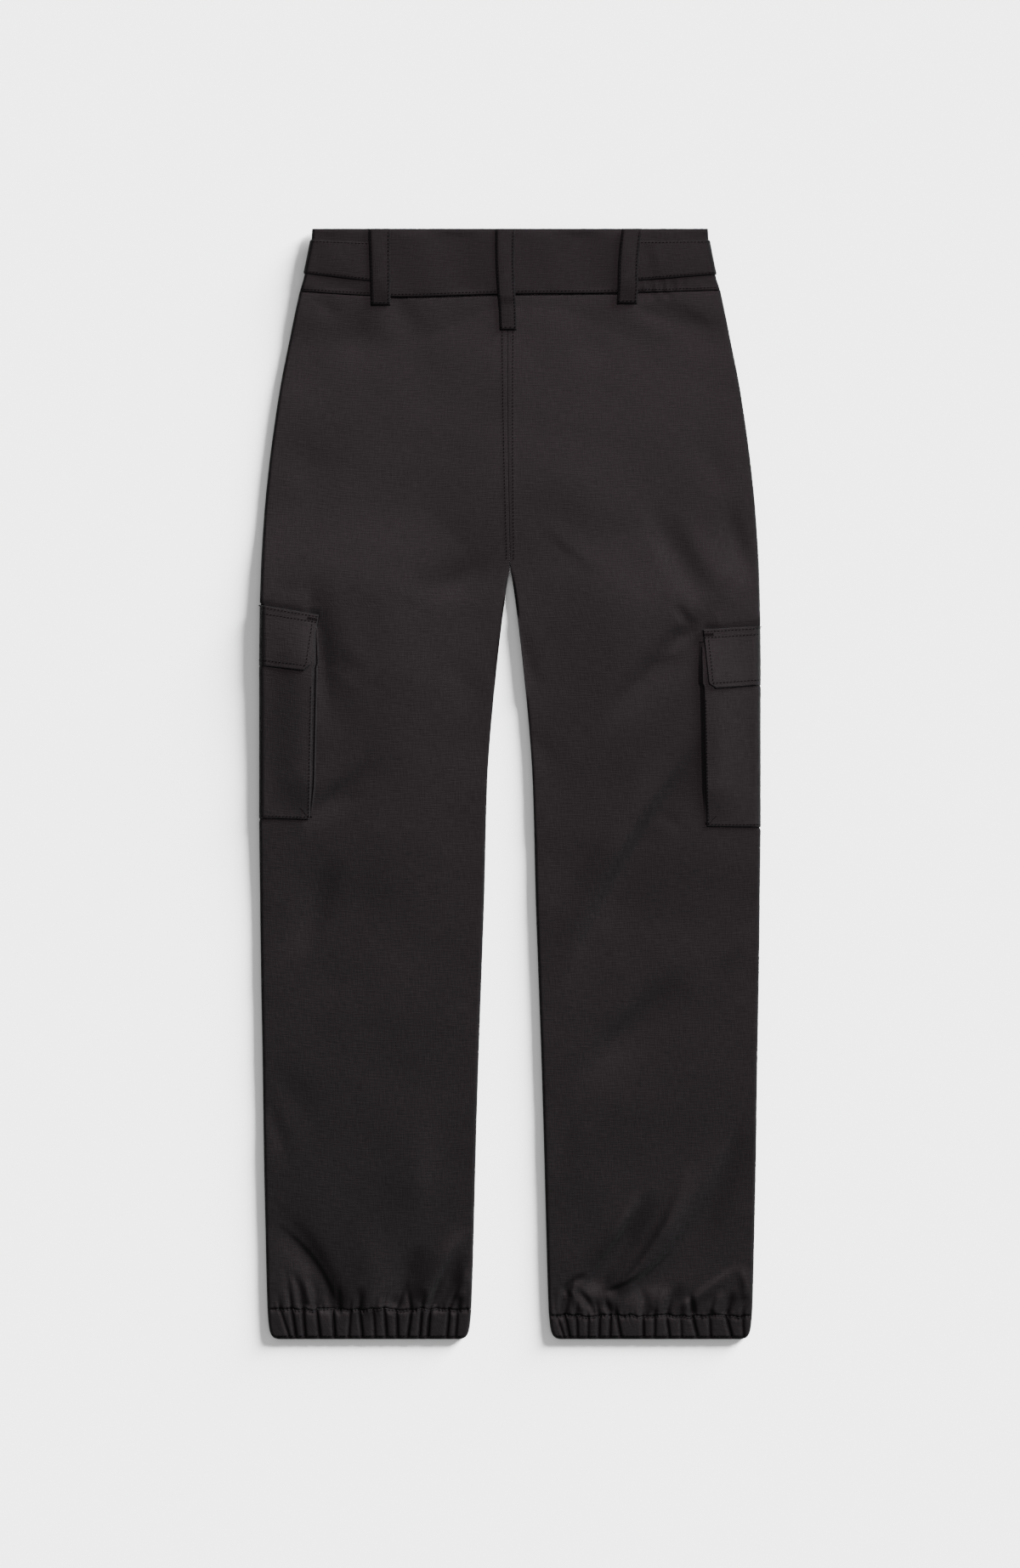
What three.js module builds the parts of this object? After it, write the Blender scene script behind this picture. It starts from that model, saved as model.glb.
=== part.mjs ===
// Cargo trousers with gathered hems, laid flat on the ground with the back up.
// Millimetres. +Z is up, the waist points to +Y, +X is the wearer's right, and the ground is Z = 0.
// The origin is the middle of the ground rectangle that the garment covers.
// Every piece of cloth is a thin wall. The front pieces lie on the ground, the back pieces lie over them,
// and the pockets and waist straps wrap round the outer folds from the back to the front.
import * as THREE from "three";

// The whole garment
const LENGTH = 1018;
const WAIST_Y = LENGTH / 2;
const HEM_Y = -LENGTH / 2;
const CROTCH_Y = 203;
const CUFF_SEAM_LEFT_Y = HEM_Y + 27.5;
const CUFF_SEAM_RIGHT_Y = HEM_Y + 21.5;
const WAISTBAND_HEIGHT = 60;
const WAISTBAND_Y = WAIST_Y - WAISTBAND_HEIGHT;
const WAIST_SEAM_Y = WAISTBAND_Y - 0.6;

// The cloth and how its layers lie
const CLOTH = 1.2;
const GAP = 0.3;
const LAYER = CLOTH + GAP;
const WAISTBAND_CLOTH = 2.6;
const STRAP_CLOTH = 1.4;
const LOOP_CLOTH = 1.8;
const GUSSET_CLOTH = 2.2;
const LOFT = 5.6;
const HALF_LOFT = LOFT / 2;
const FOLD_RADIUS = 3;
const WAIST_LIFT = STRAP_CLOTH + GAP;
const WAISTBAND_TOP = WAIST_LIFT + 2 * WAISTBAND_CLOTH + 1.2;

// Distance of the outer and the inner fold of a leg from the centre line
const LEG_OUTLINE = [
  { y: 460, outer: 190, inner: 0.15 },
  { y: 448, outer: 193, inner: 0.15 },
  { y: 408, outer: 202, inner: 0.15 },
  { y: 368, outer: 210, inner: 0.15 },
  { y: 330, outer: 216, inner: 0.15 },
  { y: 290, outer: 221.2, inner: 0.15 },
  { y: 252, outer: 225, inner: 0.15 },
  { y: CROTCH_Y, outer: 228.2, inner: 0.15 },
  { y: 181, outer: 229, inner: 3.1 },
  { y: 142, outer: 229.7, inner: 8.2 },
  { y: 103, outer: 230, inner: 12.5 },
  { y: 50, outer: 230, inner: 17.6 },
  { y: 10, outer: 230, inner: 20.4 },
  { y: -30, outer: 230, inner: 21.8 },
  { y: -100, outer: 229.3, inner: 23.4 },
  { y: -178, outer: 228.3, inner: 26.1 },
  { y: -256, outer: 226.9, inner: 28.9 },
  { y: -334, outer: 225.8, inner: 31.2 },
  { y: -412, outer: 224.2, inner: 33.2 },
  { y: -482, outer: 222.4, inner: 35.4 },
  { y: -494, outer: 221.5, inner: 36.4 },
  { y: -501, outer: 220.5, inner: 37.5 },
  { y: -505.5, outer: 218.8, inner: 39.3 },
  { y: -508, outer: 216.4, inner: 41.8 },
  { y: HEM_Y, outer: 213, inner: 45 },
];

// Distance of the waistband's side fold from the centre line
const WAISTBAND_OUTLINE = [
  { y: WAIST_Y, outer: 181.6 },
  { y: 499, outer: 182 },
  { y: 465, outer: 188.8 },
  { y: 445, outer: 193.6 },
];

// The centre back seam starts left of the centre line and meets it above the crotch
const CENTRE_SEAM = [
  { y: 449, x: -2.3 },
  { y: 400, x: -2.3 },
  { y: 300, x: -1.6 },
  { y: 215, x: 0 },
];
const CENTRE_SEAM_SPREAD = 30;

// Height of the waistband's lower edge above WAISTBAND_Y, from the left side to the right
const WAISTBAND_EDGE = [
  { x: -194, rise: 2.4 },
  { x: -130, rise: -1.5 },
  { x: -100, rise: -2.6 },
  { x: -10, rise: -0.2 },
  { x: 100, rise: 1 },
  { x: 194, rise: 3.6 },
];

// The large folds of the back, each from one end to the other: a crest, or a trough where the height is
// negative.
// bow is how far its middle bends to the right of that line, seen from the first end, and steep is how much
// narrower its right side is than its left.
const FOLDS = [
  { x1: -122, y1: 470, x2: -76, y2: 396, width: 13, height: -0.8, bow: 0, steep: 0 },
  { x1: -1, y1: 210, x2: -98, y2: 172, width: 14, height: -1.3, bow: -4, steep: 0 },
  { x1: -186, y1: 212, x2: -152, y2: 20, width: 12, height: -1, bow: -6, steep: 0 },
  { x1: -204, y1: -44, x2: -118, y2: 28, width: 10, height: -1.6, bow: 3, steep: -0.3 },
  { x1: -160, y1: -58, x2: -206, y2: -170, width: 14, height: -2.1, bow: -5, steep: 0 },
  { x1: -226, y1: -246, x2: -176, y2: -334, width: 15, height: -0.6, bow: -3, steep: 0 },
  { x1: -222, y1: -400, x2: -157, y2: -492, width: 6, height: -1.5, bow: -11, steep: -0.5 },
  { x1: -222, y1: -384, x2: -155, y2: -504, width: 17, height: -2.1, bow: -10, steep: -0.4 },
  { x1: -132, y1: -390, x2: -126, y2: -500, width: 18, height: 1.4, bow: 0, steep: 0 },
  { x1: -78, y1: -420, x2: -110, y2: -486, width: 10, height: -2.8, bow: 2, steep: 0.1 },
  { x1: -34, y1: -404, x2: -81, y2: -478, width: 6.5, height: 2.3, bow: 5, steep: -0.4 },
  { x1: -43, y1: -428, x2: -75, y2: -486, width: 6.5, height: -3.1, bow: -3, steep: 0.2 },
  { x1: 92, y1: 466, x2: 196, y2: 394, width: 13, height: -1.1, bow: -2, steep: 0 },
  { x1: 22, y1: 250, x2: 92, y2: 192, width: 8, height: 0.45, bow: 3, steep: 0.3 },
  { x1: 122, y1: 272, x2: 192, y2: 148, width: 14, height: -1.6, bow: 4, steep: 0.2 },
  { x1: 146, y1: 262, x2: 212, y2: 158, width: 12, height: 0.8, bow: 4, steep: 0 },
  { x1: 198, y1: 268, x2: 222, y2: 176, width: 11, height: -1.5, bow: 3, steep: 0 },
  { x1: 206, y1: 174, x2: 78, y2: 38, width: 14, height: -2.6, bow: 8, steep: 0.3 },
  { x1: 202, y1: 60, x2: 48, y2: -204, width: 15, height: -2.9, bow: 13, steep: 0.3 },
  { x1: 176, y1: -162, x2: 54, y2: -292, width: 17, height: -2.8, bow: 5, steep: 0.3 },
  { x1: 216, y1: -302, x2: 106, y2: -478, width: 12, height: -4, bow: -16, steep: 0.4 },
  { x1: 170, y1: -340, x2: 88, y2: -478, width: 8, height: 3.4, bow: -11, steep: 0.2 },
  { x1: 130, y1: -370, x2: 68, y2: -468, width: 9, height: -4.2, bow: -3, steep: 0.35 },
  { x1: 214, y1: -438, x2: 153, y2: -484, width: 4.5, height: 1.6, bow: 0, steep: 0.3 },
];

// The gathers of the elastic hem: where each groove crosses the cuff seam and the hem, how deep it is,
// how far it runs up the leg and how far it leans there
const GATHERS = [
  { seam: -211, hem: -202, depth: 0.9, reach: 18, lean: -2 },
  { seam: -200.5, hem: -196.5, depth: 1.9, reach: 44, lean: -6 },
  { seam: -190.5, hem: -188, depth: 2, reach: 22, lean: -6 },
  { seam: -178, hem: -174.5, depth: 1.9, reach: 20, lean: -4 },
  { seam: -163, hem: -161, depth: 2.3, reach: 30, lean: -7 },
  { seam: -146.5, hem: -148.5, depth: 1.3, reach: 12, lean: 1 },
  { seam: -138.5, hem: -135.5, depth: 1.7, reach: 16, lean: 2 },
  { seam: -125.5, hem: -124, depth: 1.2, reach: 14, lean: 6 },
  { seam: -115.5, hem: -113.5, depth: 1.8, reach: 20, lean: 3 },
  { seam: -104.5, hem: -103.5, depth: 1.9, reach: 34, lean: 12 },
  { seam: -91, hem: -94.5, depth: 2, reach: 24, lean: -4 },
  { seam: -81.5, hem: -83.5, depth: 1.8, reach: 18, lean: 4 },
  { seam: -74, hem: -76, depth: 2.3, reach: 60, lean: 26 },
  { seam: -56, hem: -58.5, depth: 1.9, reach: 30, lean: 12 },
  { seam: -48.5, hem: -50.5, depth: 1.4, reach: 16, lean: 4 },
  { seam: 42.5, hem: 50, depth: 1, reach: 30, lean: -3 },
  { seam: 50, hem: 54.5, depth: 1.9, reach: 40, lean: 8 },
  { seam: 60.5, hem: 61.5, depth: 1.7, reach: 26, lean: 3 },
  { seam: 71.5, hem: 71, depth: 1.4, reach: 16, lean: -2 },
  { seam: 81.5, hem: 81, depth: 2, reach: 20, lean: -4 },
  { seam: 91.5, hem: 91, depth: 1.8, reach: 24, lean: -6 },
  { seam: 97.5, hem: 101.5, depth: 1.9, reach: 14, lean: -2 },
  { seam: 121.5, hem: 122, depth: 2.1, reach: 22, lean: -4 },
  { seam: 132.5, hem: 132, depth: 1.8, reach: 16, lean: 3 },
  { seam: 143, hem: 146, depth: 1.8, reach: 34, lean: 8 },
  { seam: 156, hem: 157, depth: 1.2, reach: 14, lean: 2 },
  { seam: 166.5, hem: 172, depth: 2.2, reach: 26, lean: -1 },
  { seam: 182.5, hem: 183.5, depth: 1.6, reach: 22, lean: 6 },
  { seam: 197.5, hem: 203.5, depth: 2.2, reach: 22, lean: 7 },
  { seam: 212.5, hem: 214, depth: 1.4, reach: 20, lean: 3 },
];
const GATHER_WIDTH = 2;
const GROOVE_BRINK = 3.3;
const SEAM_PINCH = 0.6;
const SEAM_PINCH_WIDTH = 3;

// The two cargo pockets. Heights are where an edge crosses the outer fold, and a slope is how far that edge
// rises for each millimetre that it runs inwards on the back. Reaches are distances from the outer fold,
// measured round the cloth. gussetShows is how far the gusset's fold stands out past the pocket's edge.
const POCKETS = [
  {
    name: "left", side: -1,
    flapTop: 164, flapTopSlope: -0.17, flapBottom: 108.5, flapBottomSlope: -0.12,
    bagBottom: -31.5, bagBottomSlope: -0.03, flapReachTop: 53, flapReachBottom: 45.5,
    bagReachTop: 50.5, bagReachBottom: 47, gussetShows: 4.2,
  },
  {
    name: "right", side: 1,
    flapTop: 144.6, flapTopSlope: -0.06, flapBottom: 90.5, flapBottomSlope: -0.08,
    bagBottom: -39.8, bagBottomSlope: 0.01, flapReachTop: 52, flapReachBottom: 46.5,
    bagReachTop: 53.5, bagReachBottom: 50, gussetShows: 3.4,
  },
];
const POCKET_FRONT_REACH = 112;
const POCKET_MOUTH = 8;
const GUSSET_TUCK = 8;
const BELLOWS_LIFT = GUSSET_CLOTH + GAP;
const LIFT_RAMP = 10;
const SOFT_LIFT_RAMP = 90;

// The belt loops: the middle of each at its top and bottom end, and its width there
const BELT_LOOPS = [
  {
    name: "left", topX: -119.3, bottomX: -118.2, bottomY: 438.6,
    topWidth: 20.2, bottomWidth: 18, overStrap: true,
  },
  {
    name: "centre", topX: -4.4, bottomX: -1.7, bottomY: 416,
    topWidth: 18.2, bottomWidth: 15.6, overStrap: false,
  },
  {
    name: "right", topX: 111.7, bottomX: 107.1, bottomY: 440,
    topWidth: 18.4, bottomWidth: 18.8, overStrap: true,
  },
];
const LOOP_DROP_START = 1;
const LOOP_DROP_END = 9;

// The waist straps, from under a side loop round the side to the front: the heights of their edges
// at the fold and at the loop, and how far they reach on the back and on the front
const STRAPS = [
  {
    name: "left", side: -1, foldTop: 499, foldBottom: 468, loopTop: 496.6, loopBottom: 460,
    backReach: 68, frontReach: 82,
  },
  {
    name: "right", side: 1, foldTop: 498.6, foldBottom: 467, loopTop: 498, loopBottom: 461,
    backReach: 75, frontReach: 82,
  },
];

// The fly and its button, on the front and so under the garment
const FLY = { left: -4, right: 34, bottom: 284, thickness: CLOTH };
const BUTTON = { x: 15, y: 479, radius: 8.5, thickness: WAIST_LIFT - GAP };

// Steps along the pieces
const FOLD_SHARE = 0.06;
const LEG_ROW_STEP = 28;
const FRONT_ROW_STEP = 60;
const LEG_COLUMNS = 11;
const GATHER_ROWS = [42, 20, 7, GAP / 2];

const lerp = THREE.MathUtils.lerp;

function smoothstep(start, end, value) {
  const t = THREE.MathUtils.clamp((value - start) / (end - start), 0, 1);
  return t * t * (3 - 2 * t);
}

// A smooth curve through a table's rows, level wherever the values turn, so that it never overshoots them
function readTable(rows, key, column, at) {
  const way = Math.sign(rows[rows.length - 1][key] - rows[0][key]);
  const last = rows.length - 1;
  if ((at - rows[0][key]) * way <= 0) return rows[0][column];
  if ((at - rows[last][key]) * way >= 0) return rows[last][column];
  let i = 0;
  while ((at - rows[i + 1][key]) * way > 0) i += 1;
  const rate = (k) => (rows[k + 1][column] - rows[k][column]) / (rows[k + 1][key] - rows[k][key]);
  const slope = (k) => {
    if (k === 0) return rate(0);
    if (k === last) return rate(last - 1);
    const before = rate(k - 1);
    const after = rate(k);
    return before * after <= 0 ? 0 : (2 * before * after) / (before + after);
  };
  const span = rows[i + 1][key] - rows[i][key];
  const t = (at - rows[i][key]) / span;
  const u = 1 - t;
  return (
    rows[i][column] * (1 + 2 * t) * u * u + rows[i + 1][column] * (3 - 2 * t) * t * t +
    slope(i) * span * t * u * u - slope(i + 1) * span * t * t * u
  );
}

// How much the layers of a pocket lift the leg's edge at a height: one layer for the bag and one for the
// flap
function pocketLayers(pocket, y, ramp) {
  const top = 1 - smoothstep(pocket.flapTop + 6, pocket.flapTop + 6 + ramp, y);
  const low = pocket.bagBottom - 4;
  const flapLow = pocket.flapBottom - 6;
  return top * (smoothstep(low - ramp, low, y) + smoothstep(flapLow - ramp, flapLow, y));
}

const cuffSeam = (side) => (side < 0 ? CUFF_SEAM_LEFT_Y : CUFF_SEAM_RIGHT_Y);
const pocketOf = (side) => POCKETS.find((pocket) => pocket.side === side);
const innerEdge = (y) => readTable(LEG_OUTLINE, "y", "inner", y);
const outlineEdge = (y) => readTable(LEG_OUTLINE, "y", "outer", y);

// The leg's fold draws in under its pocket, so that the pocket lies flush with the outline
function outerEdge(side, y) {
  const pocket = pocketOf(side);
  const belowTop = 1 - smoothstep(pocket.flapTop + 0.5, pocket.flapTop + 6, y);
  const bag = smoothstep(pocket.bagBottom - 4, pocket.bagBottom - 0.5, y);
  const flap = smoothstep(pocket.flapBottom - 6, pocket.flapBottom - 0.5, y);
  return outlineEdge(y) - LAYER * belowTop * (bag + flap);
}

// The waistband's side fold is straight from one row of its outline to the next
function waistbandEdge(y) {
  const next = Math.max(1, WAISTBAND_OUTLINE.findIndex((row) => row.y <= y));
  const above = WAISTBAND_OUTLINE[next - 1];
  const below = WAISTBAND_OUTLINE[next];
  return lerp(above.outer, below.outer, (above.y - y) / (above.y - below.y));
}

const waistbandRise = (x) => readTable(WAISTBAND_EDGE, "x", "rise", x);

// How high the front lies over what is under it, with short ramps, or long ones where the cloth above
// bridges them
function liftAt(x, y, ramp) {
  const pocket = pocketOf(x < 0 ? -1 : 1);
  const inboard = outlineEdge(y) - Math.abs(x);
  const besidePocket = 1 - smoothstep(POCKET_FRONT_REACH, POCKET_FRONT_REACH + ramp, inboard);
  const pocketLift = LAYER * pocketLayers(pocket, y, ramp) * besidePocket;
  const leftOfFly = smoothstep(FLY.left - ramp, FLY.left - 1, x);
  const rightOfFly = 1 - smoothstep(FLY.right + 1, FLY.right + ramp, x);
  const flyLift = LAYER * leftOfFly * rightOfFly * smoothstep(FLY.bottom - ramp, FLY.bottom - 1, y);
  const waistLift = WAIST_LIFT * smoothstep(WAISTBAND_Y - 50, WAISTBAND_Y - 6, y);
  return Math.max(pocketLift, flyLift, waistLift);
}
const underHeight = (x, y) => liftAt(x, y, LIFT_RAMP);

// A fold that ends at the hem stays deep right up to it, and the others fade out slowly at both ends
function foldHeight(fold, x, y) {
  const dx = fold.x2 - fold.x1;
  const dy = fold.y2 - fold.y1;
  const length = Math.hypot(dx, dy);
  const along = ((x - fold.x1) * dx + (y - fold.y1) * dy) / length ** 2;
  if (along <= 0 || along >= 1) return 0;
  const across = ((x - fold.x1) * dy - (y - fold.y1) * dx) / length - 4 * fold.bow * along * (1 - along);
  const end = fold.y2 < CUFF_SEAM_LEFT_Y + 20 ? 0.82 : 0.5;
  const fade = smoothstep(0, 0.5, along) * smoothstep(1, end, along);
  const width = fold.width * (1 - fold.steep * Math.tanh((across / fold.width) * 2));
  return fold.height * fade * Math.exp(-((across / width) ** 2));
}

// The middle of a groove of the gathered hem at a height, and how strong it still is there
function grooveAt(gather, y) {
  const seamY = cuffSeam(gather.seam);
  if (y <= seamY) {
    const down = (seamY - y) / (seamY - HEM_Y);
    return { x: lerp(gather.seam, gather.hem, down), strength: 1 };
  }
  const up = Math.min((y - seamY) / gather.reach, 1);
  return { x: gather.seam + gather.lean * up, strength: (1 - up) ** 1.5 };
}

function gatherDepth(gather, x, y) {
  const groove = grooveAt(gather, y);
  return gather.depth * groove.strength * Math.exp(-(((x - groove.x) / GATHER_WIDTH) ** 2));
}

// Folds fade out under a pocket, so that the pocket lies on smooth cloth
function clearOfPocket(x, y) {
  const pocket = pocketOf(x < 0 ? -1 : 1);
  const inboard = outlineEdge(y) - Math.abs(x);
  const beside = smoothstep(pocket.flapReachTop, pocket.flapReachTop + 16, inboard);
  const above = smoothstep(pocket.flapTop + 2, pocket.flapTop + 18, y);
  const below = smoothstep(pocket.bagBottom - 2, pocket.bagBottom - 18, y);
  return Math.max(beside, above, below);
}

// The upper side of the back of the legs and cuffs
function topHeight(x, y) {
  const side = x < 0 ? -1 : 1;
  let height = LOFT + liftAt(x, y, SOFT_LIFT_RAMP);
  const seamY = cuffSeam(side);
  const intoCuff = y < seamY ? Math.exp((y - seamY) / 5) : 1;
  let folds = 0;
  for (const fold of FOLDS.filter((each) => each.x1 * side > 0)) folds += foldHeight(fold, x, y);
  height += folds * clearOfPocket(x, y) * intoCuff;
  for (const gather of GATHERS.filter((each) => each.seam * side > 0)) height -= gatherDepth(gather, x, y);
  height -= SEAM_PINCH * Math.exp(-(((y - seamY) / SEAM_PINCH_WIDTH) ** 2));
  const lowest = underHeight(x, y) + 2 * CLOTH + 2 * GAP;
  return (height + lowest + Math.hypot(height - lowest, 0.8)) / 2;
}

// A place across a leg, from its inner edge (s = 0) to its outer fold (s = 1), at a depth inside its outer
// surface. d is the distance from the centre line. rise is 1 on the flat and falls to 0 where the cloth
// turns over at a fold.
function acrossLeg(side, y, s, depth) {
  const folded = 1 - smoothstep(CROTCH_Y - 30, CROTCH_Y, y);
  const inside = innerEdge(y);
  const outside = outerEdge(side, y);
  const turn = Math.PI / 2 / FOLD_SHARE;
  if (s < FOLD_SHARE) {
    const radius = FOLD_RADIUS - depth * folded;
    const d = inside + depth * folded + radius * (1 - Math.cos(s * turn));
    return { d, rise: 1 - folded * (1 - Math.sin(s * turn)) };
  }
  if (s > 1 - FOLD_SHARE) {
    const angle = (1 - s) * turn;
    return { d: outside - depth - (FOLD_RADIUS - depth) * (1 - Math.cos(angle)), rise: Math.sin(angle) };
  }
  const flat = (s - FOLD_SHARE) / (1 - 2 * FOLD_SHARE);
  return { d: lerp(inside + FOLD_RADIUS, outside - FOLD_RADIUS, flat), rise: 1 };
}

// The share s of a distance d from the centre line on the flat of a leg
function shareAt(side, y, d) {
  const start = innerEdge(y) + FOLD_RADIUS;
  const end = outerEdge(side, y) - FOLD_RADIUS;
  return FOLD_SHARE + ((1 - 2 * FOLD_SHARE) * (d - start)) / (end - start);
}

const foldMiddle = (side, y) => underHeight(side * outlineEdge(y), y) + HALF_LOFT;

// The panels' upper ends follow the waistband's lower edge
const followWaistband = (x, y) => y + waistbandRise(x) * smoothstep(WAISTBAND_Y - 50, WAIST_SEAM_Y, y);

function centreShift(x, y) {
  return readTable(CENTRE_SEAM, "y", "x", y) * Math.exp(-((x / CENTRE_SEAM_SPREAD) ** 2));
}

function backPoint(side, y, s, depth) {
  const { d, rise } = acrossLeg(side, y, s, depth);
  const x = side * d;
  const middle = foldMiddle(side, y) + GAP / 2;
  const placed = followWaistband(x, y);
  return new THREE.Vector3(x + centreShift(x, y), placed, lerp(middle, topHeight(x, placed) - depth, rise));
}

function frontPoint(side, y, s, depth) {
  const { d, rise } = acrossLeg(side, y, s, depth);
  const x = side * d;
  const middle = foldMiddle(side, y) - GAP / 2;
  const placed = followWaistband(x, y);
  return new THREE.Vector3(x, placed, lerp(middle, underHeight(x, placed) + depth, rise));
}

// A place on the cloth round a leg's outer fold, q millimetres from that fold: on the back where q is
// positive, and on the front where it is negative. It is moved out from the leg by out.
function roundLeg(side, q, y, out) {
  const quarter = (FOLD_RADIUS * Math.PI) / 2;
  const angle = (Math.min(Math.abs(q) / quarter, 1) * Math.PI) / 2;
  const turned = (FOLD_RADIUS + out) * (1 - Math.cos(angle));
  const d = outerEdge(side, y) + out - turned - Math.max(Math.abs(q) - quarter, 0);
  const x = side * d;
  const level = q > 0 ? topHeight(x, y) + out : underHeight(x, y) - out;
  return new THREE.Vector3(x, y, lerp(foldMiddle(side, y), level, Math.sin(angle)));
}

// The same round the waistband's side fold
function roundWaistband(side, q, y, out) {
  const quarter = (FOLD_RADIUS * Math.PI) / 2;
  const angle = (Math.min(Math.abs(q) / quarter, 1) * Math.PI) / 2;
  const turned = (FOLD_RADIUS + out) * (1 - Math.cos(angle));
  const d = waistbandEdge(y) + out - turned - Math.max(Math.abs(q) - quarter, 0);
  const level = q > 0 ? WAISTBAND_TOP + out : WAIST_LIFT - out;
  return new THREE.Vector3(side * d, y, lerp((WAISTBAND_TOP + WAIST_LIFT) / 2, level, Math.sin(angle)));
}

// The closed surface of a wall. Each row holds its upper and lower points in the same number, from -X to +X
// on the upper side, and the rows run towards -Y. A closed wall joins each row's last point to its first.
function wallGeometry(rows, closed = false) {
  const positions = [];
  const faces = [];
  const place = (point) => positions.push(point.x, point.y, point.z) / 3 - 1;
  const upper = rows.map((row) => row.upper.map(place));
  const lower = rows.map((row) => row.lower.map(place));
  const xOf = (index) => positions[3 * index];
  // Triangles between two neighbouring rows of a surface, whose numbers of points may differ
  const strip = (a, b, flip) => {
    const add = (p, q, r) => faces.push(...(flip ? [p, r, q] : [p, q, r]));
    const even = a.length === b.length;
    let i = 0;
    let j = 0;
    while (i < a.length - 1 || j < b.length - 1) {
      const behind = i < a.length - 1 && (even ? i < j : xOf(a[i + 1]) < xOf(b[j + 1]));
      if (j === b.length - 1 || behind) {
        add(a[i], b[j], a[i + 1]);
        i += 1;
      } else {
        add(a[i], b[j], b[j + 1]);
        j += 1;
      }
    }
  };
  const loop = (row) => (closed ? [...row, row[0]] : row);
  for (let r = 0; r < rows.length - 1; r += 1) {
    strip(loop(upper[r]), loop(upper[r + 1]), false);
    strip(loop(lower[r]), loop(lower[r + 1]), true);
  }
  const bottom = rows.length - 1;
  strip(loop(lower[0]), loop(upper[0]), false);
  strip(loop(upper[bottom]), loop(lower[bottom]), false);
  if (!closed) {
    const column = (surface, last) => surface.map((row) => row[last ? row.length - 1 : 0]);
    strip(column(upper, false), column(lower, false), false);
    strip(column(lower, true), column(upper, true), false);
  }
  const geometry = new THREE.BufferGeometry();
  geometry.setAttribute("position", new THREE.Float32BufferAttribute(positions, 3));
  geometry.setIndex(faces);
  geometry.computeVertexNormals();
  return geometry;
}

const steps = (from, to, count) => Array.from({ length: count + 1 }, (_, i) => lerp(from, to, i / count));
const foldStations = steps(0, FOLD_SHARE, 3);
const outerFoldStations = foldStations.map((s) => 1 - s).reverse();

// Stations across a leg: evenly spread, or set by the grooves of the gathered hem at this height
function plainStations(count) {
  const flat = steps(FOLD_SHARE, 1 - FOLD_SHARE, count);
  return [...foldStations.slice(0, -1), ...flat, ...outerFoldStations.slice(1)];
}

// Shares of the two brinks and the bottom of each groove at a height, from the inner groove outwards
function grooveShares(side, y) {
  const own = GATHERS.filter((gather) => gather.seam * side > 0).sort((a, b) => (a.seam - b.seam) * side);
  const middles = own.map((gather) => grooveAt(gather, y).x * side);
  const places = middles.flatMap((d) => [d - GROOVE_BRINK, d, d + GROOVE_BRINK]);
  return places.map((d) => shareAt(side, y, d));
}

const isApart = (share, before) => share > before + 0.006 && share < 1 - FOLD_SHARE - 0.006;

function gatherStations(side, y) {
  const kept = [FOLD_SHARE];
  for (const share of grooveShares(side, y).sort((a, b) => a - b)) {
    if (isApart(share, kept[kept.length - 1])) kept.push(share);
  }
  return [...foldStations.slice(0, -1), ...kept, ...outerFoldStations];
}

// Stations down the cuff keep the same number, so a groove's are left out where they come too close at
// either end
function cuffStations(side, y) {
  const seam = grooveShares(side, cuffSeam(side));
  const hem = grooveShares(side, HEM_Y);
  const kept = [];
  seam.forEach((share, i) => {
    const before = kept.length > 0 ? kept[kept.length - 1] : null;
    const clearSeam = isApart(share, before === null ? FOLD_SHARE : seam[before]);
    const clearHem = isApart(hem[i], before === null ? FOLD_SHARE : hem[before]);
    if (clearSeam && clearHem) kept.push(i);
  });
  const shares = grooveShares(side, y);
  return [...foldStations, ...kept.map((i) => shares[i]), ...outerFoldStations];
}

// Points run from -X to +X, so the left side's are turned round
const inOrder = (side, points) => (side < 0 ? [...points].reverse() : points);

function legRow(side, y, stations, pointAt, upperDepth, lowerDepth) {
  return {
    upper: inOrder(side, stations.map((s) => pointAt(side, y, s, upperDepth))),
    lower: inOrder(side, stations.map((s) => pointAt(side, y, s, lowerDepth))),
  };
}

// Heights of a leg's rows from the waistband down to the gathers, with one at each end of every ramp
function legHeights(side, step) {
  const { flapTop, flapBottom, bagBottom } = pocketOf(side);
  const ramps = [flapTop + 6 + LIFT_RAMP, flapBottom - 6, bagBottom - 4, FLY.bottom - 1];
  const rampEnds = ramps.flatMap((y) => [y, y - LIFT_RAMP]);
  const draws = [flapTop + 0.5, flapBottom - 0.5, bagBottom - 0.5];
  const fixed = [WAIST_SEAM_Y, WAISTBAND_Y - 6, ...rampEnds, ...draws, cuffSeam(side) + GATHER_ROWS[0]];
  fixed.sort((a, b) => b - a);
  return fixed.flatMap((y, i) => {
    if (i === fixed.length - 1) return [y];
    const count = Math.max(1, Math.round((y - fixed[i + 1]) / step));
    return steps(y, fixed[i + 1], count).slice(0, -1);
  });
}

function backLeg(side) {
  const plain = legHeights(side, LEG_ROW_STEP).slice(0, -1);
  const rows = plain.map((y) => legRow(side, y, plainStations(LEG_COLUMNS), backPoint, 0, CLOTH));
  for (const above of GATHER_ROWS) {
    const y = cuffSeam(side) + above;
    rows.push(legRow(side, y, gatherStations(side, y), backPoint, 0, CLOTH));
  }
  return wallGeometry(rows);
}

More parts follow.
